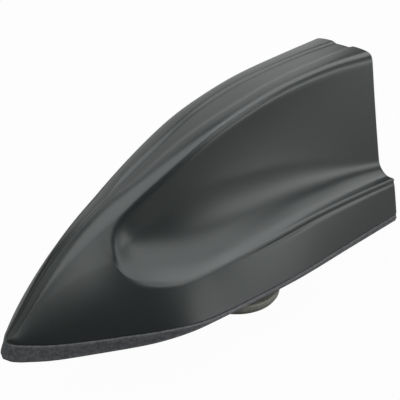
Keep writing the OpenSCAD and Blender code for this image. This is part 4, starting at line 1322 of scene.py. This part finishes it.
@dataclass
class Studio:
    """Floor, lamps, world and camera."""

    lens: float = 75.25
    eye: tuple[float, float, float] = (-194.74, -189.58, 161.46)
    azimuth: float = -42.92
    elevation: float = 27.93
    roll: float = -0.23763
    floor_height: float = -27.0
    middle: tuple[float, float, float] = (-20.0, 0.0, 30.0)
    lamps: tuple[Lamp, ...] = (
        Lamp("overhead", -60.0, 67.0, 1.25, 10.5),
        Lamp("side_strip", 46.0, 4.5, 0.76, 1.30, 0.9, 0.19),
        Lamp("side_upper", 27.0, 32.0, 0.34, 1.10, 0.9, 0.46),
        Lamp("far_side", 158.0, 32.0, 1.1, 3.1, 0.9, 0.9),
        Lamp("rear_top", 76.0, 52.0, 0.80, 4.6),
        Lamp("nose_side", -135.0, 30.0, 0.5, 0.55),
    )
    world: Colour = (0.012, 0.012, 0.012)
    floor_colour: Colour = (0.30, 0.30, 0.30)
    floor_white: float = 0.97

    def camera(self) -> bpy.types.Object:
        """Camera at the photograph's place."""
        az, el, roll = (math.radians(v) for v in (self.azimuth, self.elevation, self.roll))
        back = direction(self.azimuth, self.elevation)
        right = Vector((math.cos(az), math.sin(az), 0))
        up = Vector((-math.sin(az) * math.sin(el), math.cos(az) * math.sin(el), math.cos(el)))
        side = math.cos(roll) * right + math.sin(roll) * up
        top = -math.sin(roll) * right + math.cos(roll) * up
        data = bpy.data.cameras.new("view")
        data.lens = self.lens
        data.sensor_width = 36.0
        data.clip_start = 0.01
        data.clip_end = 20.0
        eye = bpy.data.objects.new("view", data)
        turn = Matrix((side, top, back)).transposed().to_4x4()
        eye.matrix_world = Matrix.Translation(Vector(self.eye) * MM) @ turn
        bpy.context.scene.collection.objects.link(eye)
        bpy.context.scene.camera = eye
        return eye

    def lamp(self, facts: Lamp) -> bpy.types.Object:
        """One area light, aimed at the part's middle."""
        away = direction(facts.azimuth, facts.elevation)
        data = bpy.data.lights.new(facts.name, "AREA")
        data.shape = "RECTANGLE"
        data.size = facts.size
        data.size_y = facts.tall or facts.size
        data.energy = facts.power
        light = bpy.data.objects.new(facts.name, data)
        light.location = Vector(self.middle) * MM + away * facts.distance
        light.rotation_euler = away.to_track_quat("Z", "Y").to_euler()
        bpy.context.scene.collection.objects.link(light)
        return light

    def floor(self) -> bpy.types.Object:
        """Plain pale floor that the camera sees as white, with the part's shadow left on it."""
        clear_selection()
        bpy.ops.mesh.primitive_plane_add(size=6.0, location=(0, 0, self.floor_height * MM))
        plane = bpy.context.object
        plane.name = "floor"
        made = bpy.data.materials.new("pale_floor")
        made.use_nodes = True
        tree = made.node_tree
        paint = tree.nodes["Principled BSDF"]
        plain = {"Base Color": self.floor_colour, "Roughness": 0.9, "Specular IOR Level": 0.1}
        for key, value in plain.items():
            feed(tree, paint.inputs[key], value)
        glow = add_node(tree, "Emission", {"Color": WHITE})
        self._shown(tree, paint, glow, self.floor_white, tree.nodes["Material Output"])
        plane.data.materials.append(made)
        plane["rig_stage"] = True
        return plane

    def surround(self) -> None:
        """World: white where the camera sees it, a plain soft light elsewhere."""
        world = bpy.data.worlds.new("surround")
        bpy.context.scene.world = world
        world.use_nodes = True
        tree = world.node_tree
        soft = tree.nodes["Background"]
        feed(tree, soft.inputs["Color"], self.world)
        seen = add_node(tree, "Background", {"Color": WHITE})
        self._shown(tree, soft, seen, 1.0, tree.nodes["World Output"])

    @staticmethod
    def _shown(tree: Tree, usual: Node, seen: Node, share: float, end: Node) -> None:
        """Shows the camera another shader than the one that lights the part.

        Args:
            tree: Tree of both shaders.
            usual: The shader for everything but the camera.
            seen: The shader for the camera.
            share: How much of the second one the camera sees.
            end: Output node.
        """
        path = add_node(tree, "LightPath")
        part = calculate(tree, "MULTIPLY", path.outputs["Is Camera Ray"], share)
        both = add_node(tree, "MixShader", {"Fac": part, 1: usual.outputs[0], 2: seen.outputs[0]})
        feed(tree, end.inputs["Surface"], both.outputs[0])

    def build(self) -> None:
        """The whole studio."""
        self.camera()
        self.floor()
        self.surround()
        for facts in self.lamps:
            self.lamp(facts)
        bpy.context.scene.view_settings.view_transform = "Standard"


def dress(finishes: tuple[Finish, ...]) -> None:
    """Gives every piece and every shown CAD node the material of its slot.

    Args:
        finishes: One finish for each material slot of the record.
    """
    paint = Paint()
    made = {finish.slot: finish.material(paint) for finish in finishes}
    slots = {part["node"]: part["material_slot"] for part in frame["record"]["subparts"]}
    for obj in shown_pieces():
        slot = obj.get("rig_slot") or slots[obj["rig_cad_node"]]
        material = made[slot]
        obj.data.materials.clear()
        obj.data.materials.append(material)
        for face in obj.data.polygons:
            face.material_index = 0
        LOG.info("%s wears %s", obj.name, slot)


def main() -> None:
    """Builds and dresses the aerial."""
    logging.basicConfig(level=logging.INFO, format="%(name)s: %(message)s")
    loft = FinLoft()
    FinCover(loft).build()
    RubberSeal(loft).build()
    MetalWork().build()
    dress(FINISHES)
    Studio().build()


if __name__ == "__main__":
    main()
